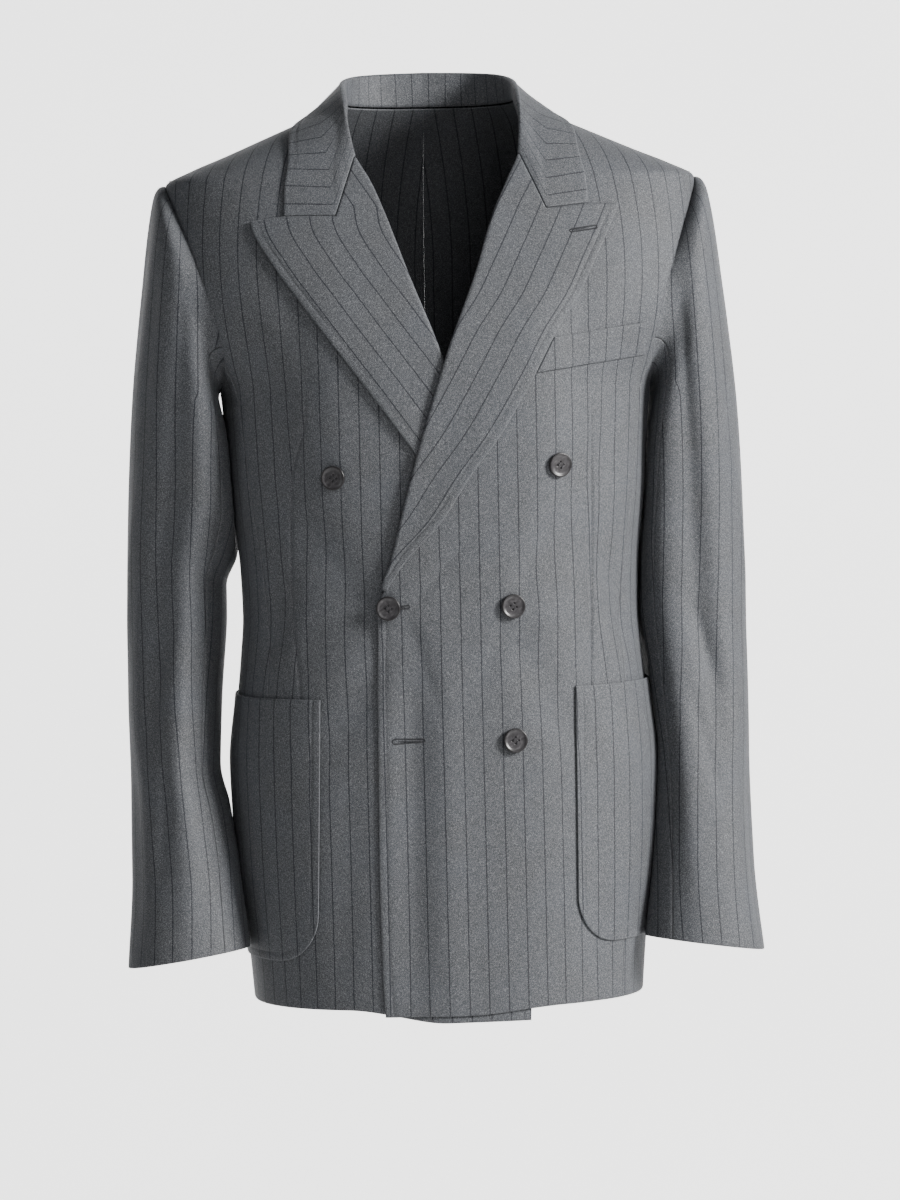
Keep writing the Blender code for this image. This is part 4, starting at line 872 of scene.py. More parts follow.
def sleeve_ring(side, turn, station):
    """Superellipse between the ring's outer and inner points, blended from the armhole."""
    knots = np.arange(len(SLEEVE), dtype=float)
    outer_x, outer_z, inner_x, inner_z, half, middle, share = (
        pchip(np.clip(station, 0, LAST), knots, SLEEVE[:, k]) for k in range(7))
    inner_x = inner_x - pchip(inner_z, SLEEVE_PULL[side][:, 0], SLEEVE_PULL[side][:, 1])
    cosine, sine = np.cos(np.radians(turn)), np.sin(np.radians(turn))
    size = (np.abs(cosine) ** SLEEVE_SQUARENESS + np.abs(sine) ** SLEEVE_SQUARENESS)
    across, along = (part * size ** (-1 / SLEEVE_SQUARENESS) for part in (cosine, sine))
    x = (outer_x + inner_x) / 2 + (outer_x - inner_x) / 2 * across
    z = (outer_z + inner_z) / 2 + (outer_z - inner_z) / 2 * across
    y = middle + half * along
    z = z - CUFF_SLANT * smooth(station, LAST - 3, LAST) * (0.5 + 0.5 * along)
    depth = folds(turn, z, SLEEVE_FOLDS[side]) * smooth(station, 1.5, 4.0)
    outward = unit(np.stack([across / np.maximum(outer_x - inner_x, 0.02), along / (2 * half)], -1))
    x = x + outward[..., 0] * depth + SWING[side] * smooth(-z, 0.25, 0.65)
    y = y + outward[..., 1] * depth
    seam_angle, seam_z = armhole(-turn)
    before, after = armhole(-turn - 1.0), armhole(-turn + 1.0)
    along_seam = trunk_point(*after) - trunk_point(*before)
    into_hole = unit(np.cross(trunk_normal(seam_angle, seam_z), along_seam))
    tucked = np.clip(-station, 0, 1)[..., None]
    seam = trunk_point(seam_angle, seam_z) + into_hole * (SLEEVE_GAP - TUCK * tucked)
    seam = seam - trunk_normal(seam_angle, seam_z) * 0.0021 * smooth(tucked, 0.0, 0.45)
    blend = share[..., None]
    mirror, far = (sign_of(side), 1.0, 1.0), smooth(station, 2.2, 3.6)
    height = (SLEEVE_CLEAR + (POCKET_CLEAR - SLEEVE_CLEAR) * smooth(z, -0.45, -0.485)) * far
    tube = clear_of_trunk(side, np.stack([x, y, z], -1) * mirror, height - 0.03 * (1 - far)) * mirror
    return seam * (1 - blend) + tube * blend


def upright(face, across, reference):
    """Stripes straight up above one row: each point takes the number of its bearing there."""
    z = face[..., 2]
    outer = pchip(z, SLEEVE[::-1, 1], SLEEVE[::-1, 0])
    inner = pchip(z, SLEEVE[::-1, 3], SLEEVE[::-1, 2])
    half = pchip(z, SLEEVE[::-1, 1], SLEEVE[::-1, 4])
    aside = (face[..., 0] - (outer + inner) / 2) / ((outer - inner) / 2)
    bearing = np.unwrap(np.arctan2((face[..., 1] - 0.003) / half, aside), axis=1)
    known, number = bearing[reference], across[reference]
    turns = np.round((known.mean() - bearing.mean(axis=1, keepdims=True)) / (2 * math.pi))
    bearing = bearing + 2 * math.pi * turns
    slope = (number[-1] - number[0]) / (known[-1] - known[0])
    known = np.concatenate([[known[0] - 2], known, [known[-1] + 2]])
    number = np.concatenate([[number[0] - 2 * slope], number, [number[-1] + 2 * slope]])
    straight = np.interp(bearing, known, number)
    return np.where(np.arange(len(face))[:, None] < reference, straight, across)


def make_sleeve(side, name, start, end, columns):
    """One lengthwise half of a sleeve, with its stripes counted from its own middle."""
    cuff = LAST - NEAR_EDGE[::-1] / 0.07
    stations = np.concatenate([[-1.0, -0.7, -0.45, -0.25, -0.1, 0, 0.04, 0.10, 0.18, 0.28],
                               np.linspace(0.4, 4, 30),
                               np.linspace(4, LAST - 0.13, 136)[1:], cuff])
    half_gap = math.degrees(SEAM / 2 / SLEEVE_RADIUS)
    ends = [np.full(len(stations), start + half_gap), np.full(len(stations), end - half_gap)]
    turn = spaced(ends, [columns], np.degrees(NEAR_EDGE / 0.06))
    station = np.repeat(stations[:, None], turn.shape[1], 1)
    face = sleeve_ring(side, turn, station)
    step_turn, step_station = 0.6, 0.03
    low, high = np.clip(station - step_station, -1, LAST), np.clip(station + step_station, -1, LAST)
    around = sleeve_ring(side, turn + step_turn, station) - sleeve_ring(side, turn - step_turn, station)
    down = sleeve_ring(side, turn, high) - sleeve_ring(side, turn, low)
    hidden = face - unit(np.cross(down, around)) * CLOTH
    level_step = np.linalg.norm(np.diff(face[..., :2], axis=1, prepend=face[:, :1, :2]), axis=-1)
    over = np.cumsum(level_step, axis=1)
    middle = int(np.argmin(np.abs(turn[0] - (start + end) / 2)))
    across = over - over[:, middle:middle + 1]
    across = upright(face, across, int(np.argmin(np.abs(stations - 6.0))))
    along = face[..., 2]
    mirror = (sign_of(side), 1, 1)
    return cloth_wall(name, face * mirror, hidden * mirror, across, along)


sleeve_suit = {"left": suiting("suiting_sleeve_left", phase=0.0040),
               "right": suiting("suiting_sleeve_right", phase=0.0085)}
for side in ("left", "right"):
    front_seam, back_seam = TOP_SLEEVE_DEG
    top = make_sleeve(side, f"cloth_top_sleeve_{side}", front_seam, back_seam, 84)
    under = make_sleeve(side, f"cloth_under_sleeve_{side}", back_seam, front_seam + 360, 40)
    dress(top, f"top_sleeve_{side}", sleeve_suit[side])
    dress(under, f"under_sleeve_{side}", sleeve_suit[side])

# %% [markdown]
# ## Lapels
# A lapel is the front itself, turned back on itself along the roll line. Its section is a
# small turned roll, then the leaf that lies on the chest. The leaf bellies up a little
# before its edge, which gives the lit line there and the soft shadow below it.

# %% Lapels
ROLL_SWEEPS = np.array([0.0, 18, 36, 54, 72, 90, 108, 124, 135])
LEAF_RISE = 0.0016
LAPEL_PITCH, LAPEL_PHASE = 0.0158, {"left": 0.0100, "right": 0.0098}


def shifted(points, distance):
    """A bent line moved sideways by one distance, mitred at its corners."""
    points = np.asarray(points, float)
    runs = unit(np.diff(points, axis=0))
    normals = np.stack([-runs[:, 1], runs[:, 0]], 1)
    inner = (normals[:-1] + normals[1:]) / (1 + (normals[:-1] * normals[1:]).sum(1, keepdims=True))
    return points + np.concatenate([normals[:1], inner, normals[-1:]]) * distance


def notch_line(side, gap, last):
    """Gorge seam and notch from the front, moved towards the collar (+) or the lapel (-)."""
    start = (panel_edge_x(side, np.array(GORGE_START)) - sign_of(side) * LIP, GORGE_START)
    return shifted([start, *NOTCH[side]], sign_of(side) * gap)[:last]


def along_line(points, shares, corner_share):
    """Points spread along a bent line, with one column on its first corner."""
    lengths = run_length(points)
    place = np.where(shares <= corner_share, shares / corner_share * lengths[1],
                     lengths[1] + (shares - corner_share) / (1 - corner_share)
                     * (lengths[-1] - lengths[1]))
    return np.stack([np.interp(place, lengths, points[:, k]) for k in range(2)], -1)


def roll_section(radius):
    """Offsets past the edge and above the face, round the roll from its inner foot."""
    swept = np.radians(ROLL_SWEEPS)
    past = LIP + radius * np.sin(swept)
    above = (CLOTH + LAY - ROLL) - radius * np.cos(swept)
    return np.append(past[0] - TURN, past), np.append(above[0], above)


def leaf_shares(width, count, corner_share=None):
    """Columns of a leaf: even from its fold, then crowded towards its outer edge."""
    close = 1 - NEAR_EDGE[::-1] / width
    even = np.linspace(0, close[0], count)[:-1]
    if corner_share is not None:
        even[np.argmin(np.abs(even - corner_share))] = corner_share
    return np.concatenate([even, close])


def make_lapel(side):
    """Rows from the break to the gorge; columns round the roll and out over the leaf."""
    sign = sign_of(side)
    up = np.concatenate([np.linspace(0, 0.93, 96), 1 - NEAR_EDGE[:0:-1] / 0.33 * 1.9, [1.0]])
    up = np.unique(np.clip(up, 0, 1))
    roll_z = LAPEL_START + (GORGE_START - LAPEL_BELOW_GORGE - LAPEL_START) * up
    x = panel_edge_x(side, roll_z)
    normal = trunk_normal(angle_at(x, roll_z), roll_z)
    edge = on_front(side, x, roll_z, 0.0 * x)
    past_edge = unit(np.cross(unit(np.gradient(edge, axis=0)), normal)) * -sign
    corner = 4 / 9
    shares = leaf_shares(0.115, 44, corner)
    edge_z = LAPEL_EDGE[0, 0] + (NOTCH[side][2][1] - LAPEL_EDGE[0, 0]) * up ** 1.15
    edge_x = pchip(edge_z, LAPEL_EDGE[:, 0], LAPEL_EDGE[:, EDGE_COLUMN[side]])
    inner_line = np.stack([x - sign * LIP, roll_z], -1)
    outer_line = np.stack([edge_x, edge_z], -1)
    top = along_line(notch_line(side, -SEAM, 4), shares, corner)
    inner_line[-1], outer_line[-1] = top[0], top[-1]
    plain = inner_line[:, None] + (outer_line - inner_line)[:, None] * shares[None, :, None]
    bend = top - (top[0] + (top[-1] - top[0]) * shares[:, None])
    plan = plain + bend[None] * smooth(up, 0.45, 1.0)[:, None, None]
    rise = LEAF_RISE * smooth(shares, 0.35, 0.97)[None] * smooth(up, 0.04, 0.30)[:, None]
    rise = rise * smooth(up, 1.0, 0.90)[:, None] + 0.0006 * smooth(up, 0.85, 1.0)[:, None] * shares
    leaf = on_front(side, plan[..., 0], plan[..., 1], LAY + CLOTH + rise)
    beneath = on_front(side, plan[..., 0], plan[..., 1], LAY + rise)
    grids = []
    for radius, part in ((ROLL, leaf), (ROLL - CLOTH, beneath)):
        past, above = roll_section(radius)
        lip = (edge[:, None] + past_edge[:, None] * past[None, :, None]
               + normal[:, None] * above[None, :, None])
        grids.append(np.concatenate([lip, part], 1))
    face, hidden = grids
    lip_plan = np.stack([face[:, :len(ROLL_SWEEPS) + 1, 0], face[:, :len(ROLL_SWEEPS) + 1, 2]], -1)
    whole_plan = np.concatenate([lip_plan, plan], 1)
    line_z, line_x = LAPEL_EDGE[:, 0], LAPEL_EDGE[:, EDGE_COLUMN[side]]
    lean = (line_x[-1] - line_x[3]) / (line_z[-1] - line_z[3])
    straight_x = (pchip(whole_plan[..., 1], line_z, line_x)
                  + lean * np.maximum(whole_plan[..., 1] - line_z[-1], 0))
    across = sign * (straight_x - whole_plan[..., 0]) / math.hypot(1, lean)
    along = (whole_plan[..., 1] + lean * whole_plan[..., 0]) / math.hypot(1, lean)
    stitched = edge_distance(face, ["last_column"])
    near_top = edge_distance(face, ["last_row"])
    beyond_gorge = np.concatenate([np.zeros(len(ROLL_SWEEPS) + 1), shares]) > corner + 0.27
    stitched = np.where(beyond_gorge[None], np.minimum(stitched, near_top), stitched)
    return cloth_wall(f"cloth_lapel_{side}", face, hidden, across, along, stitched)


for side in ("left", "right"):
    lapel_suit = suiting(f"suiting_lapel_{side}", pitch=LAPEL_PITCH, phase=LAPEL_PHASE[side])
    dress(make_lapel(side), f"lapel_{side}", lapel_suit)

# %% [markdown]
# ## Collar
# The collar is one strip from notch to notch. Its stand goes down inside the neck, its fold
# runs round it, and its leaf falls on the shoulders and meets the lapels at the gorge.

# %% Collar
COLLAR = np.array([
    # along, fold_x, fold_y, fold_z, edge_deg, edge_z, seat_deg (0 on the front's edge), seat_z
    (0.00, 0.0000, 0.0765, 0.0310, 180.0, -0.0140, 180.0, 0.0000),
    (0.20, 0.0330, 0.0720, 0.0300, 154.0, -0.0145, 154.0, 0.0000),
    (0.40, 0.0600, 0.0510, 0.0268, 126.0, -0.0150, 127.0, 0.0000),
    (0.55, 0.0715, 0.0240, 0.0215, 104.0, -0.0146, 104.0, 0.0000),
    (0.65, 0.0740, 0.0030, 0.0165, 90.0, -0.0138, 90.0, 0.0000),
    (0.72, 0.0743, -0.0125, 0.0115, 81.5, -0.0180, 0.0, -0.0005),
    (0.76, 0.0743, -0.0250, 0.0055, 76.5, -0.0230, 0.0, -0.0040),
    (0.80, 0.0740, -0.0370, -0.0015, 71.5, -0.0300, 0.0, -0.0095),
    (0.85, 0.0734, -0.0470, -0.0115, 66.5, -0.0405, 0.0, -0.0190),
    (0.90, 0.0726, -0.0560, -0.0225, 62.5, -0.0540, 0.0, -0.0275),
    (0.95, 0.0712, -0.0640, -0.0365, 59.5, -0.0730, 0.0, -0.0385),
])
COLLAR_END = (1.00, 56.8, -0.0934)
NECK_CORNER, COLLAR_FOLD, COLLAR_SPARE = 0.72, 0.0027, 0.0004
STAND_SHARES = np.linspace(0.0, 0.88, 9)
COLLAR_CORNER = 0.5


def collar_half(side, along):
    """Half of the collar, from the centre back (along 0) to the gorge seam (along 1)."""
    sign = sign_of(side)
    knots = np.append(COLLAR[:, 0], 1.0)
    seat_z_knots = np.append(COLLAR[:, 7], GORGE_START + COLLAR_ABOVE_GORGE)
    edge_deg = np.degrees(sign * angle_at(panel_edge_x(side, seat_z_knots), seat_z_knots))
    ring_deg = np.append(COLLAR[:, 6], 0.0)
    seat_z = pchip(along, knots, seat_z_knots)
    seat_angle = np.radians(pchip(along, knots, np.where(ring_deg > 0, ring_deg, edge_deg)))
    exact = sign * angle_at(panel_edge_x(side, seat_z), seat_z)
    seat_angle = np.where(along >= NECK_CORNER, exact, seat_angle)
    lift = lift_of(side, panel_edge_x(side, seat_z), seat_z)
    normal = trunk_normal(sign * seat_angle, seat_z)
    seat = trunk_point(sign * seat_angle, seat_z) + normal * lift[:, None]
    past_edge = unit(np.cross(unit(np.gradient(seat, axis=0)), normal)) * sign
    depth_in = CLOTH + LAY - ROLL
    end_fold = seat[-1] + past_edge[-1] * (LIP + ROLL) + normal[-1] * depth_in
    aside = sign * panel_edge_x(side, seat_z_knots) - panel_edge_x("left", seat_z_knots)
    fold_x = np.append(COLLAR[:, 1] + aside[:-1] * (COLLAR[:, 6] == 0), sign * end_fold[0])
    radius = ROLL + (COLLAR_FOLD - ROLL) * smooth(along, 0.98, 0.70)
    fold = np.stack([sign * pchip(along, knots, fold_x),
                     pchip(along, knots, np.append(COLLAR[:, 2], end_fold[1])),
                     pchip(along, knots, np.append(COLLAR[:, 3], end_fold[2]))], -1)
    at_end = smooth(along, 0.80, 1.0)[:, None]
    rise = unit(fold - seat - normal * depth_in)
    rise = unit(rise * (1 - at_end) + past_edge * at_end)
    from_neck = unit(fold * (1.0, 1.0, 0.0)) * (1 - at_end) + normal * at_end
    outward = unit(from_neck - rise * (from_neck * rise).sum(-1, keepdims=True))
    centre = fold - rise * radius[:, None]
    arc_start = centre - outward * radius[:, None]
    foot = (seat + past_edge * 2 * SEAM - outward * CLOTH) * (1 - at_end) + (
        arc_start - rise * TURN) * at_end
    stand = foot[:, None] + (arc_start - foot)[:, None] * STAND_SHARES[None, :, None]
    sweeps = np.radians(ROLL_SWEEPS)
    turning = (outward[:, None] * -np.cos(sweeps)[None, :, None]
               + rise[:, None] * np.sin(sweeps)[None, :, None])
    arc = centre[:, None] + turning * radius[:, None, None]
    leaf_start = centre + outward * radius[:, None]
    edge_angle = sign * np.radians(pchip(along, knots, np.append(COLLAR[:, 4], COLLAR_END[1])))
    edge_z = pchip(along, knots, np.append(COLLAR[:, 5], COLLAR_END[2]))
    leaf_edge = trunk_point(edge_angle, edge_z) + trunk_normal(edge_angle, edge_z) * (LAY + CLOTH)
    spread = leaf_shares(LEAF_WIDTH, LEAF_COLUMNS, COLLAR_CORNER)
    notch = along_line(notch_line(side, SEAM, 3), spread, COLLAR_CORNER)
    end_row = on_front(side, notch[:, 0], notch[:, 1], np.full(len(spread), LAY + CLOTH))
    leaf = leaf_start[:, None] + (leaf_edge - leaf_start)[:, None] * spread[None, :, None]
    leaf = leaf + (end_row - leaf[-1])[None] * smooth(along, 0.70, 1.0)[:, None, None]
    leaf = clear_of_trunk(side, leaf, CLOTH + LAY + COLLAR_SPARE * (1 - at_end))
    weight = smooth(along, 0.80, 1.0)[:, None, None]
    free = unit(np.cross(np.gradient(leaf, axis=1), np.gradient(leaf, axis=0)))
    normals = unit(free * -sign * (1 - weight) + trunk_normal(*ring_place(leaf)) * weight)
    normals[:, 0] = unit(normals[:, 0] + outward)
    face = np.concatenate([stand, arc, leaf], 1)
    hidden = np.concatenate([stand + outward[:, None] * CLOTH, arc - turning * CLOTH,
                             leaf - normals * CLOTH], 1)
    return face, hidden


LEAF_WIDTH, LEAF_COLUMNS = 0.045, 24
COLLAR_ROWS = np.unique(np.concatenate([np.linspace(0, 0.955, 84), 1 - NEAR_EDGE[::-1] / 0.21]))
left_face, left_hidden = collar_half("left", COLLAR_ROWS)
right_face, right_hidden = collar_half("right", COLLAR_ROWS)
face = np.concatenate([right_face[:0:-1], left_face])
hidden = np.concatenate([right_hidden[:0:-1], left_hidden])
leaf_from = len(STAND_SHARES) + len(ROLL_SWEEPS)
edge_run = np.cumsum(np.linalg.norm(np.diff(face[:, -14], axis=0, prepend=face[:1, -14]), axis=-1))
collar_across = np.repeat((edge_run - edge_run[len(edge_run) // 2])[:, None], face.shape[1], 1)
collar_stitched = edge_distance(face, ["last_column"])
end_stitched = edge_distance(face, ["first_row", "last_row"])
past_corner = np.zeros(face.shape[1], bool)
past_corner[leaf_from:] = leaf_shares(LEAF_WIDTH, LEAF_COLUMNS, COLLAR_CORNER) > COLLAR_CORNER + 0.07
collar_stitched = np.where(past_corner[None], np.minimum(collar_stitched, end_stitched), collar_stitched)
collar_along = np.repeat(np.linspace(0, 0.08, face.shape[1])[None], face.shape[0], 0)
collar_piece = cloth_wall("cloth_collar", face, hidden, collar_across, collar_along, collar_stitched)
dress(collar_piece, "collar", suiting("suiting_collar", phase=0.0052))

# %% [markdown]
# ## Pockets and welt
# The patch pockets are cut so that their stripes run on from the front's. They carry the
# front's own "across" number, so the match needs no care. Their lower corners are round.

# %% Patch pockets
POCKETS = {
    # inner edge x at its top and bottom, top z there, rise of the top towards the side, bottom z;
    # up to a centimetre off the frame's own pockets at the lower corners
    "left": (0.1054, 0.1024, -0.4970, 0.0020, -0.7130),
    "right": (-0.1075, -0.1143, -0.5030, 0.0020, -0.7232),
}
POCKET_WIDTH, POCKET_CORNER = 0.165, 0.040
POCKET_PUFF = {"left": 0.0022, "right": 0.0013}


def arc_angles(side, start_x, z, lengths):
    """Angles that lie at given lengths of cloth, measured round the trunk from start_x."""
    fine = angle_at(np.array(start_x), np.array(z)) + sign_of(side) * np.linspace(0, math.pi / 2, 400)
    return np.interp(lengths, run_length(trunk_point(fine, z)), fine)


def pocket_face(side, shares, v):
    """Points at a share of the width and a height above the bottom; the belly bags a little."""
    top_x, low_x, top_z, _, low_z = POCKETS[side]
    z = low_z + v
    across = arc_angles(side, (top_x + low_x) / 2, (top_z + low_z) / 2,
                        POCKET_WIDTH * np.concatenate([[0.0], np.ravel(shares)]))
    across = (across[1:] - across[0]).reshape(np.shape(shares))
    angle = angle_at(low_x + (top_x - low_x) * v / (top_z - low_z), z) + across
    point, normal = trunk_point(angle, z), trunk_normal(angle, z)
    bag = POCKET_PUFF[side] * np.sin(math.pi * np.clip(shares, 0, 1)) ** 1.2
    bag = bag * smooth(v, 0.002, 0.095) * (1 - 0.55 * smooth(v, 0.13, 0.21))
    lift = (lift_of(side, point[..., 0], z) + LAY + CLOTH + bag)[..., None]
    return point + normal * lift, normal, angle


def make_pocket(side):
    """Rows from the bottom to the mouth; the outer columns stop at the round corners."""
    _, _, top_z, rise, low_z = POCKETS[side]
    corner = POCKET_CORNER / POCKET_WIDTH
    bend = corner * (1 - np.cos(np.radians(np.linspace(0, 90, 15))))
    near = NEAR_EDGE / POCKET_WIDTH
    middle = np.linspace(corner, 1 - corner, 30)
    shares = np.unique(np.round(np.concatenate([near, bend, middle, 1 - bend, 1 - near]), 6))
    inside = np.clip(POCKET_CORNER - np.minimum(shares, 1 - shares) * POCKET_WIDTH, 0, POCKET_CORNER)
    bottom = low_z + POCKET_CORNER - np.sqrt(np.maximum(POCKET_CORNER ** 2 - inside ** 2, 0))
    top = top_z + rise * shares
    z = bottom + (top - bottom) * crowded(0.21, 62)[:, None]
    point, normal, angle = pocket_face(side, shares[None] + 0.0 * z, z - low_z)
    past_u = np.maximum(np.abs(shares - 0.5)[None] * POCKET_WIDTH - POCKET_WIDTH / 2 + POCKET_CORNER, 0)
    stitched = POCKET_CORNER - np.hypot(past_u, np.maximum(POCKET_CORNER - (z - low_z), 0))
    return cloth_wall(f"cloth_pocket_{side}", point, point - normal * CLOTH,
                      across_front(angle, z, 0.0), z, stitched)


for side in ("left", "right"):
    dress(make_pocket(side), f"pocket_{side}", suits[side])

# %% Breast welt
WELT_OUTER_X, WELT_SLOPE, WELT_LOW_Z = 0.1722, 0.148, -0.2205
WELT_HEIGHT, WELT_LENGTH, WELT_GAP = 0.0268, 0.09, 0.0008


def make_welt():
    """Slanting strip from the lapel's edge outwards."""
    across, up = crowded(WELT_LENGTH, 34)[None], crowded(WELT_HEIGHT, 12)[:, None]
    outer_z = WELT_LOW_Z + WELT_HEIGHT * up
    inner_x = 0.5 * WELT_OUTER_X
    for _ in range(6):
        inner_z = outer_z - WELT_SLOPE * (WELT_OUTER_X - inner_x)
        inner_x = pchip(inner_z, LAPEL_EDGE[:, 0], LAPEL_EDGE[:, 1]) + WELT_GAP
    x = inner_x + (WELT_OUTER_X - inner_x) * across
    z = outer_z - WELT_SLOPE * (WELT_OUTER_X - x)
    height = np.full(x.shape, LAY + CLOTH)
    return cloth_wall("cloth_breast_welt", on_front("left", x, z, height),
                      on_front("left", x, z, height - CLOTH),
                      across_front(angle_at(x, z), z, math.pi), z)


dress(make_welt(), "breast_welt", suits["left"])

# %% [markdown]
# ## Buttons
# The buttons are turned from dark horn: a dished face inside a rounded rim, with four holes
# and a cross of thread. The body is one polar grid, and the holes are dents in it.

# %% Button and thread finishes
HORN_TONES = [(0.30, (0.012, 0.011, 0.012)), (0.55, (0.036, 0.034, 0.037)), (0.80, (0.085, 0.080, 0.084))]
RIM_TONE, RIM_FROM, RIM_FULL = (0.010, 0.009, 0.010), 0.0078, 0.0094


def horn_finish():
    """Grey-brown horn, mottled, a little darker at the rim, with a soft polish."""
    finish, shader, add = new_finish("horn")
    mark = add("Attribute", attribute_name="cloth", attribute_type="GEOMETRY").outputs["Vector"]
    from_middle = add("SeparateXYZ", {0: mark}).outputs["Z"]
    cloud = noise(add, scaled(add, mark, 190.0, 420.0, 0.0), 1.0, 4.0, Distortion=0.8)
    tone = mix(add, ranged(add, from_middle, RIM_FROM, RIM_FULL), ramp(add, cloud, HORN_TONES), RIM_TONE)
    coat(shader, tone, Roughness=0.34, Specular_IOR_Level=0.5)
    return finish


def thread_finish(name, colour):
    """Twisted thread: fine specks along it, from the object's own coordinates."""
    finish, shader, add = new_finish(name)
    twist = noise(add, add("TexCoord").outputs["Object"], 3200.0, 1.0)
    dark = tuple(0.45 * part for part in colour)
    coat(shader, ramp(add, twist, [(0.35, dark), (0.65, colour)]), Roughness=0.7)
    return finish


HORN, THREAD = horn_finish(), thread_finish("thread", (0.020, 0.021, 0.026))
STITCH_THREAD = thread_finish("stitch_thread", (0.042, 0.044, 0.050))

# %% Buttons
BUTTONS = {
    # x, z, over front or under front, turn of its four holes in degrees
    "button_chest_right": (-0.0925, -0.3180, "right", 38.0),
    "button_chest_left": (0.0942, -0.3110, "left", 50.0),
    "button_waist_right": (-0.0490, -0.4270, "left", 44.0),
    "button_waist_left": (0.0529, -0.4280, "left", 31.0),
    "button_low_left": (0.0526, -0.5400, "left", 47.0),
}
BUTTON_PROFILE = np.array([
    # radius, height above the cloth: from the dish's middle over the rim to the shank
    (0.0000, 0.00300), (0.0020, 0.00300), (0.0040, 0.00300), (0.0060, 0.00305), (0.0072, 0.00320),
    (0.0080, 0.00350), (0.0086, 0.00385), (0.0092, 0.00402), (0.0097, 0.00396), (0.0101, 0.00368),
    (0.01025, 0.00330), (0.01025, 0.00215), (0.0100, 0.00165), (0.0092, 0.00125), (0.0050, 0.00120),
    (0.0014, 0.00120), (0.0013, 0.00000), (0.0, 0.00000),
])
HOLE_RING, HOLE_RADIUS, HOLE_DEPTH = 0.00265, 0.00085, 0.0012
DISH_EDGE, DISH_ROWS, DISH_Z, MIDDLE_RADIUS = 0.0072, 5, 0.0030, 0.00002


def frame_on_front(side, x, z, spin):
    """Place and turn of something that lies on a front: right, up and out."""
    x, z = np.array(x), np.array(z)
    origin, out = on_front(side, x, z, np.array(SEAM)), trunk_normal(angle_at(x, z), z)
    across = unit(np.cross([0.0, 0.0, 1.0], out))
    up = np.cross(out, across)
    c, s = math.cos(math.radians(spin)), math.sin(math.radians(spin))
    return origin, np.stack([across * c + up * s, up * c - across * s, out])


def make_button(name, x, z, side, spin):
    """Polar grid: angle by radius; each hole pushes the grid in by a steep bell."""
    dish = np.linspace(0, DISH_EDGE, 30)[1:]
    dish_radius, dish_z = BUTTON_PROFILE[:DISH_ROWS].T
    knots = run_length(BUTTON_PROFILE)
    start = np.interp(DISH_EDGE, dish_radius, knots[:DISH_ROWS])
    run = np.linspace(start, knots[-1], 44)[1:]
    outer_radius, outer_z = (np.interp(run, knots, BUTTON_PROFILE[:, k]) for k in range(2))
    radius = np.concatenate([[MIDDLE_RADIUS], dish, outer_radius])
    height = np.concatenate([[DISH_Z], pchip(dish, dish_radius, dish_z), outer_z])
    radius[-1] = MIDDLE_RADIUS
    turns = np.linspace(0, 2 * math.pi, 72, endpoint=False)
    flat = np.stack([radius[:, None] * np.cos(turns), radius[:, None] * np.sin(turns)], -1)
    level = np.repeat(height[:, None], len(turns), 1)
    on_dish = (np.arange(len(radius)) <= len(dish))[:, None]
    for bearing in (math.pi / 4 + k * math.pi / 2 for k in range(4)):
        hole = HOLE_RING * np.array([math.cos(bearing), math.sin(bearing)])
        from_hole = np.linalg.norm(flat - hole, axis=-1)
        inside = smooth(from_hole, HOLE_RADIUS * 1.18, HOLE_RADIUS * 0.72)
        level = level - HOLE_DEPTH * inside * on_dish
    origin, axes = frame_on_front(side, x, z, spin)
    points = origin + np.concatenate([flat, level[..., None]], -1) @ axes
    rows, columns = level.shape
    index = np.arange(rows * columns).reshape(rows, columns)
    marks = np.concatenate([flat, np.repeat(radius[:, None, None], columns, 1)], -1)
    marks = marks + (0.05 * x, 0.05 * z, 0.0)
    body = make_mesh("body_" + name, points.reshape(-1, 3), ring_quads(index),
                     marks.reshape(-1, 3))
    with_caps(body, [index[0], index[-1][::-1]])
    body.data.materials.append(HORN)
    return body


def with_caps(piece, rings):
    """Adds one flat face per ring of vertex numbers, so that the mesh is closed."""
    shape = bmesh.new()
    shape.from_mesh(piece.data)
    shape.verts.ensure_lookup_table()
    for ring_numbers in rings:
        shape.faces.new([shape.verts[int(k)] for k in ring_numbers])
    bmesh.ops.recalc_face_normals(shape, faces=shape.faces[:])
    shape.to_mesh(piece.data)
    shape.free()
    piece.data.shade_smooth()


for name, (x, z, side, spin) in BUTTONS.items():
    body = make_button(name, x, z, side, spin)
    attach(body, "root")
    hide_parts(name)

# %% [markdown]
# ## Stitching
# Each stitch is a short spindle of thread that dips into the cloth at both ends. All the
# stitches of one line are one mesh, made from a single spindle that is repeated with numpy.

# %% Stitches and threads
SPINDLE = np.array([(0.0, 0.25), (0.30, 1.0), (0.70, 1.0), (1.0, 0.25)])   # along, share of radius
SPINDLE_SIDES, SPINDLE_SINKS = 4, 0.35                                     # sinks: a share of its radius


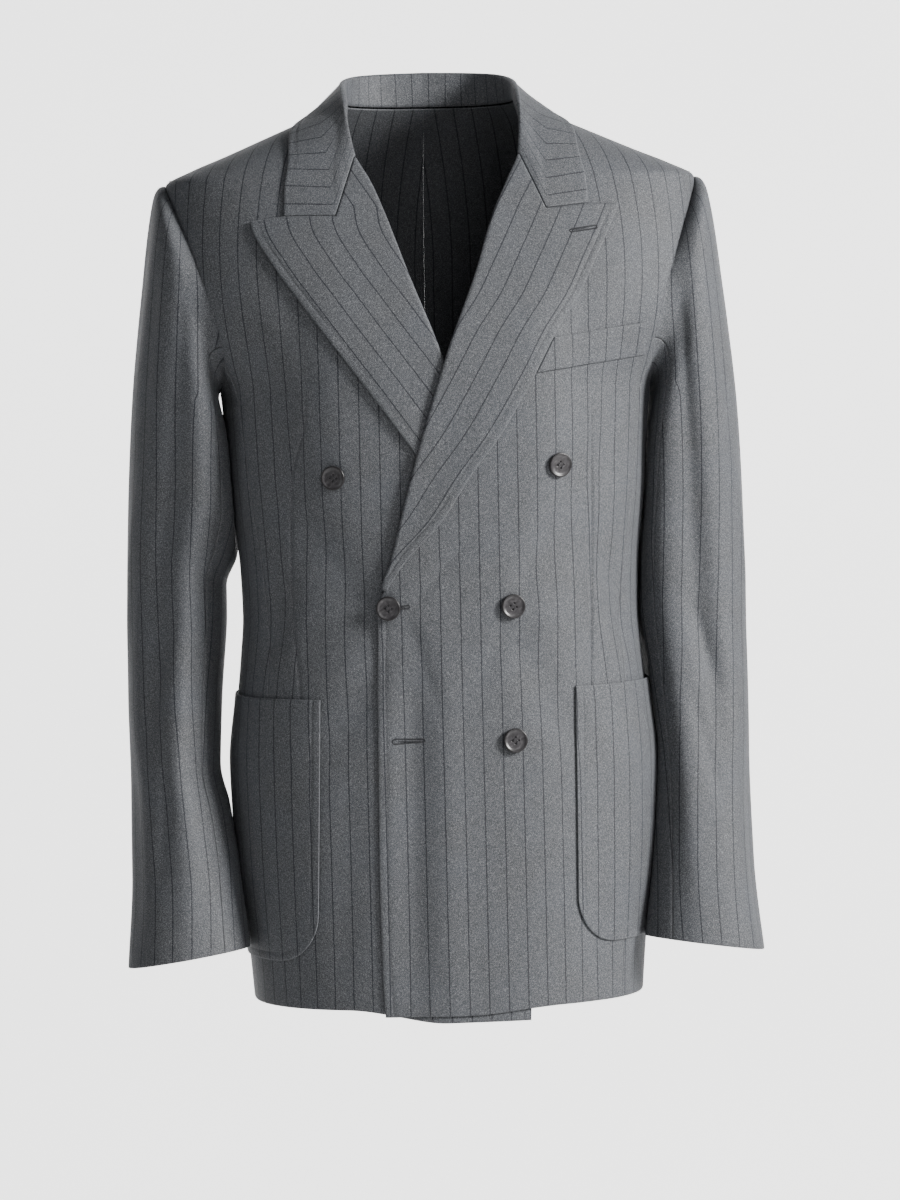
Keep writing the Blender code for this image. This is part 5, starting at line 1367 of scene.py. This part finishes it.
def spindles(name, starts, ends, normals, radius, bow, finish):
    """Closed rings round each stitch; the middle is lifted by bow and the ends are sunk."""
    along = ends - starts
    aside = unit(np.cross(along, normals))
    turns = np.linspace(0, 2 * math.pi, SPINDLE_SIDES, endpoint=False) + math.pi / 4
    rings = []
    for share, thick in SPINDLE:
        lift = bow * 4 * share * (1 - share) - SPINDLE_SINKS * radius
        centre = starts + along * share + normals * lift
        spoke = (aside[:, None] * np.cos(turns)[None, :, None]
                 + normals[:, None] * np.sin(turns)[None, :, None])
        rings.append(centre[:, None] + spoke * radius * thick)
    points = np.stack(rings, 1)
    local = np.arange(len(SPINDLE) * SPINDLE_SIDES).reshape(-1, SPINDLE_SIDES)
    quads = np.concatenate([ring_quads(local), local[:1], local[-1:, ::-1]])
    shift = (np.arange(len(starts)) * local.size)[:, None, None]
    piece = make_mesh(name, points.reshape(-1, 3), (quads[None] + shift).reshape(-1, 4))
    piece.data.materials.append(finish)
    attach(piece, "root")
    return piece


def along_path(points, normals, step, length):
    """Starts and ends of stitches laid along a path at even steps."""
    run = run_length(points)
    first = np.arange(0.4 * step, run[-1] - length, step)

    def pick(at, values):
        return np.stack([np.interp(at, run, values[:, k]) for k in range(3)], -1)

    return pick(first, points), pick(first + length, points), unit(pick(first + length / 2, normals))


print("buttons:", len(BUTTONS))

# %% Lines of stitching
STITCH_STEP, STITCH_LENGTH, STITCH_RADIUS, STITCH_BOW = 0.0029, 0.0013, 0.00024, 0.00012


def inset_path(name, edge):
    """Points one inset inside an edge: one for each grid line that ends there."""
    face, normal = GRIDS[name]
    if edge in ("first_row", "last_row"):
        face, normal = face.transpose(1, 0, 2), normal.transpose(1, 0, 2)
    if edge.startswith("first"):
        face, normal = face[:, ::-1], normal[:, ::-1]
    step = np.linalg.norm(np.diff(face, axis=1), axis=-1)
    from_end = np.concatenate([np.cumsum(step[:, ::-1], 1)[:, ::-1], np.zeros((len(face), 1))], 1)
    line = np.arange(len(face))
    cell = np.maximum((from_end > STITCH_INSET).sum(1) - 1, 0)
    share = (from_end[line, cell] - STITCH_INSET) / (from_end[line, cell] - from_end[line, cell + 1])
    points = face[line, cell] + (face[line, cell + 1] - face[line, cell]) * share[:, None]
    return points, normal[line, cell], from_end[:, 0]


def stitch_line(name, points, normals):
    """One line of stitches along a path, as one mesh."""
    starts, ends, out = along_path(points, normals, STITCH_STEP, STITCH_LENGTH)
    return spindles(name, starts, ends, out, STITCH_RADIUS, STITCH_BOW, STITCH_THREAD)


points, normals, _ = inset_path("cloth_front_left", "first_column")
below = (points[:, 2] < BREAK - 0.012) & (points[:, 2] > HEM - HEM_DROP["left"] + 0.004)
stitch_line("stitching_over_edge", points[below], normals[below])
for side in ("left", "right"):
    points, normals, width = inset_path(f"cloth_lapel_{side}", "last_column")
    wide = width > 0.018
    wide[-4:] = False
    stitch_line(f"stitching_lapel_{side}", points[wide], normals[wide])
    points, normals, _ = inset_path(f"cloth_lapel_{side}", "last_row")
    free = np.abs(points[:, 0]) > abs(NOTCH[side][1][0]) - 0.002
    free[-3:] = False
    stitch_line(f"stitching_peak_{side}", points[free], normals[free])
points, normals, _ = inset_path("cloth_collar", "last_column")
stitch_line("stitching_collar", points[4:-4], normals[4:-4])
for side in ("left", "right"):
    _, _, top_z, _, low_z = POCKETS[side]
    round_deg = np.radians(np.linspace(180, 270, 16))
    radius = POCKET_CORNER - STITCH_INSET
    left_u, low_v = POCKET_CORNER + radius * np.cos(round_deg), POCKET_CORNER + radius * np.sin(round_deg)
    tall = np.linspace(top_z - low_z - 0.003, POCKET_CORNER, 40)[:-1]
    level_u = np.linspace(left_u[-1], POCKET_WIDTH - left_u[-1], 24)[1:-1]
    u = np.concatenate([np.full(len(tall), left_u[0]), left_u, level_u,
                        POCKET_WIDTH - left_u[::-1], np.full(len(tall), POCKET_WIDTH - left_u[0])])
    v = np.concatenate([tall, low_v, np.full(len(level_u), low_v[-1]), low_v[::-1], tall[::-1]])
    points, normals, _ = pocket_face(side, u / POCKET_WIDTH, v)
    stitch_line(f"stitching_pocket_{side}", points - normals * GROOVE_DEPTH, normals)

# %% Button threads
THREAD_RADIUS, THREAD_BOW, THREAD_APART = 0.00034, 0.00055, 0.00030
for name, (x, z, side, spin) in BUTTONS.items():
    origin, axes = frame_on_front(side, x, z, spin)
    h = HOLE_RING / math.sqrt(2)
    pairs = [(-h, -h, h, -h), (-h, h, h, h)]
    starts, ends = [], []
    for x0, y0, x1, y1 in pairs:
        for nudge in (-THREAD_APART, THREAD_APART):
            starts.append((x0, y0 + nudge, DISH_Z))
            ends.append((x1, y1 - nudge * 0.4, DISH_Z))
    starts, ends = origin + np.array(starts) @ axes, origin + np.array(ends) @ axes
    spindles("thread_" + name, starts, ends, np.repeat(axes[2:], 4, 0), THREAD_RADIUS, THREAD_BOW, THREAD)

# %% Buttonholes
HOLES = {
    # start x and z, end x and z, whether the start has an eyelet
    "buttonhole_waist": (-0.0460, -0.42685, -0.0330, -0.4262, False),
    "buttonhole_low": (-0.0470, -0.5385, -0.0225, -0.5380, True),
}
SLIT_HALF, EYELET_RADIUS = 0.0008, 0.0017
BAR_STEP, BAR_IN, BAR_OUT, BAR_RADIUS, BAR_BOW = 0.00042, 0.00025, 0.00105, 0.00026, 0.00018
SLIT_Z, SLIT_RADIUS = 0.00008, 0.00045


def make_buttonhole(name, lay_on, start, end, eyelet):
    """Slit, and short threads side by side across its rim; lay_on gives points and normals."""
    start, end = np.array(start), np.array(end)
    length = np.linalg.norm(end - start)
    way = (end - start) / length
    aside = np.array([-way[1], way[0]])
    turn = np.radians(np.linspace(90, 270, 40))
    eye = EYELET_RADIUS if eyelet else SLIT_HALF
    first = np.stack([np.cos(turn) * eye, np.sin(turn) * eye], -1)
    last = np.stack([length - np.cos(turn) * SLIT_HALF, np.sin(turn) * SLIT_HALF], -1)[::-1]
    outline = np.concatenate([first, last, first[:1]])
    bearing = np.arctan2(outline[:, 1], outline[:, 0] - length / 2)
    outline = outline[np.argsort(bearing, kind="stable")]
    outline = np.concatenate([outline, outline[:1]])
    lengths = run_length(outline)
    at = np.arange(0, lengths[-1], BAR_STEP)
    ring_points = np.stack([np.interp(at, lengths, outline[:, k]) for k in range(2)], -1)
    tangent = unit(np.roll(ring_points, -1, 0) - np.roll(ring_points, 1, 0))
    out = np.stack([tangent[:, 1], -tangent[:, 0]], -1)
    out *= np.sign((out * (ring_points - ring_points.mean(0))).sum(1, keepdims=True) + 1e-9)

    def world(flat, height):
        plan = start + flat[:, :1] * way + flat[:, 1:] * aside
        place, normal = lay_on(plan[:, 0], plan[:, 1])
        return place + normal * height, normal

    inner, normal = world(ring_points - out * BAR_IN, 0.00016)
    outer, _ = world(ring_points + out * BAR_OUT, 0.00010)
    spindles(name, inner, outer, normal, BAR_RADIUS, BAR_BOW, THREAD)
    slit_a, slit_normal = world(np.array([[0.0, 0.0]]), SLIT_Z)
    slit_b, _ = world(np.array([[length, 0.0]]), SLIT_Z)
    spindles(name + "_slit", slit_a, slit_b, slit_normal, SLIT_RADIUS, 0.0, THREAD)


def on_over_front(x, z):
    """Points and normals of the over front's face."""
    return on_front("left", x, z, np.zeros(x.shape)), trunk_normal(angle_at(x, z), z)


def on_over_lapel(x, z):
    """Nearest grid point's plane on the over lapel, for the plain hole near its peak."""
    face, normal = GRIDS["cloth_lapel_left"]
    keep = slice(len(ROLL_SWEEPS) + 1, None)
    flat, lean = face[:, keep].reshape(-1, 3), normal[:, keep].reshape(-1, 3)
    away = (flat[None, :, 0] - x[:, None]) ** 2 + (flat[None, :, 2] - z[:, None]) ** 2
    nearest = np.argmin(away, axis=1)
    base, out = flat[nearest], lean[nearest]
    offset = np.stack([x - base[:, 0], 0.0 * x, z - base[:, 2]], -1)
    y = -(offset * out).sum(-1) / out[:, 1]
    return base + offset + np.stack([0.0 * x, y, 0.0 * x], -1), out


for name, (x0, z0, x1, z1, eyelet) in HOLES.items():
    make_buttonhole(name, on_over_front, (x0, z0), (x1, z1), eyelet)
make_buttonhole("buttonhole_lapel", on_over_lapel, (0.1113, -0.1165), (0.1325, -0.1135), False)

# %% [markdown]
# ## Room and light
# A seamless pale sweep stands behind and under the jacket. One large soft light comes from
# the right of the picture, as the bright right side shows, with a weak one on the left.

# %% Floor and backdrop
FLOOR_Z = -1.45
BEND_START, BEND = 1.9, 1.4


def paper_finish(name, glow):
    """Pale paper with a trace of grain; the backdrop glows so that it reads as white."""
    finish, shader, add = new_finish(name)
    grain = noise(add, add("TexCoord").outputs["Object"], 3.0)
    coat(shader, ramp(add, grain, [(0.2, (0.80,) * 3), (0.8, (0.84,) * 3)]), Roughness=0.9,
         Emission_Color=(1.0, 1.0, 1.0, 1.0), Emission_Strength=glow)
    return finish


def strip(name, half_width, line, glow):
    """A sheet of paper with a bent profile."""
    points = np.array([(x, y, z) for x in (-half_width, half_width) for y, z in line])
    first, count = np.arange(len(line) - 1), len(line)
    sheet = make_mesh(name, points, np.stack([first, first + count, first + count + 1, first + 1], 1))
    sheet.data.materials.append(paper_finish(name + "_paper", glow))


bend = np.radians(np.linspace(0, 90, 13))
curve = [(BEND_START + BEND * math.sin(t), FLOOR_Z + BEND - BEND * math.cos(t)) for t in bend]
strip("floor", 4.0, [(-4.0, FLOOR_Z), (BEND_START, FLOOR_Z)], 0.0)
strip("backdrop", 2.6, [*curve, (BEND_START + BEND, 2.4)], 1.9)

# %% Lights
def soft_light(name, place, aim, size, power, tone):
    """A square soft box; its turn is built from the line to the point it lights."""
    light = bpy.data.lights.new(name, "AREA")
    light.shape, light.size, light.energy, light.color = "SQUARE", size, power, tone
    holder = bpy.data.objects.new(name, light)
    bpy.context.scene.collection.objects.link(holder)
    place, aim = np.array(place, float), np.array(aim, float)
    back = unit(place - aim)
    across = unit(np.cross([0.0, 0.0, 1.0], back))
    holder.matrix_world = placement(across, np.cross(back, across), back, place)


soft_light("key", (3.0, -1.7, 1.0), (0.0, 0.0, -0.35), 1.1, 350.0, (1.0, 0.99, 0.975))
soft_light("front", (0.9, -3.6, 1.2), (0.0, 0.0, -0.35), 1.4, 26.0, (1.0, 1.0, 1.0))
soft_light("fill", (-2.8, -1.2, 0.3), (0.0, 0.0, -0.4), 1.2, 13.0, (0.96, 0.98, 1.0))
world = bpy.context.scene.world or bpy.data.worlds.new("room")
world.use_nodes = True
background = world.node_tree.nodes["Background"]
background.inputs["Color"].default_value = (1.0, 1.0, 1.0, 1.0)
background.inputs["Strength"].default_value = 0.16
bpy.context.scene.world = world
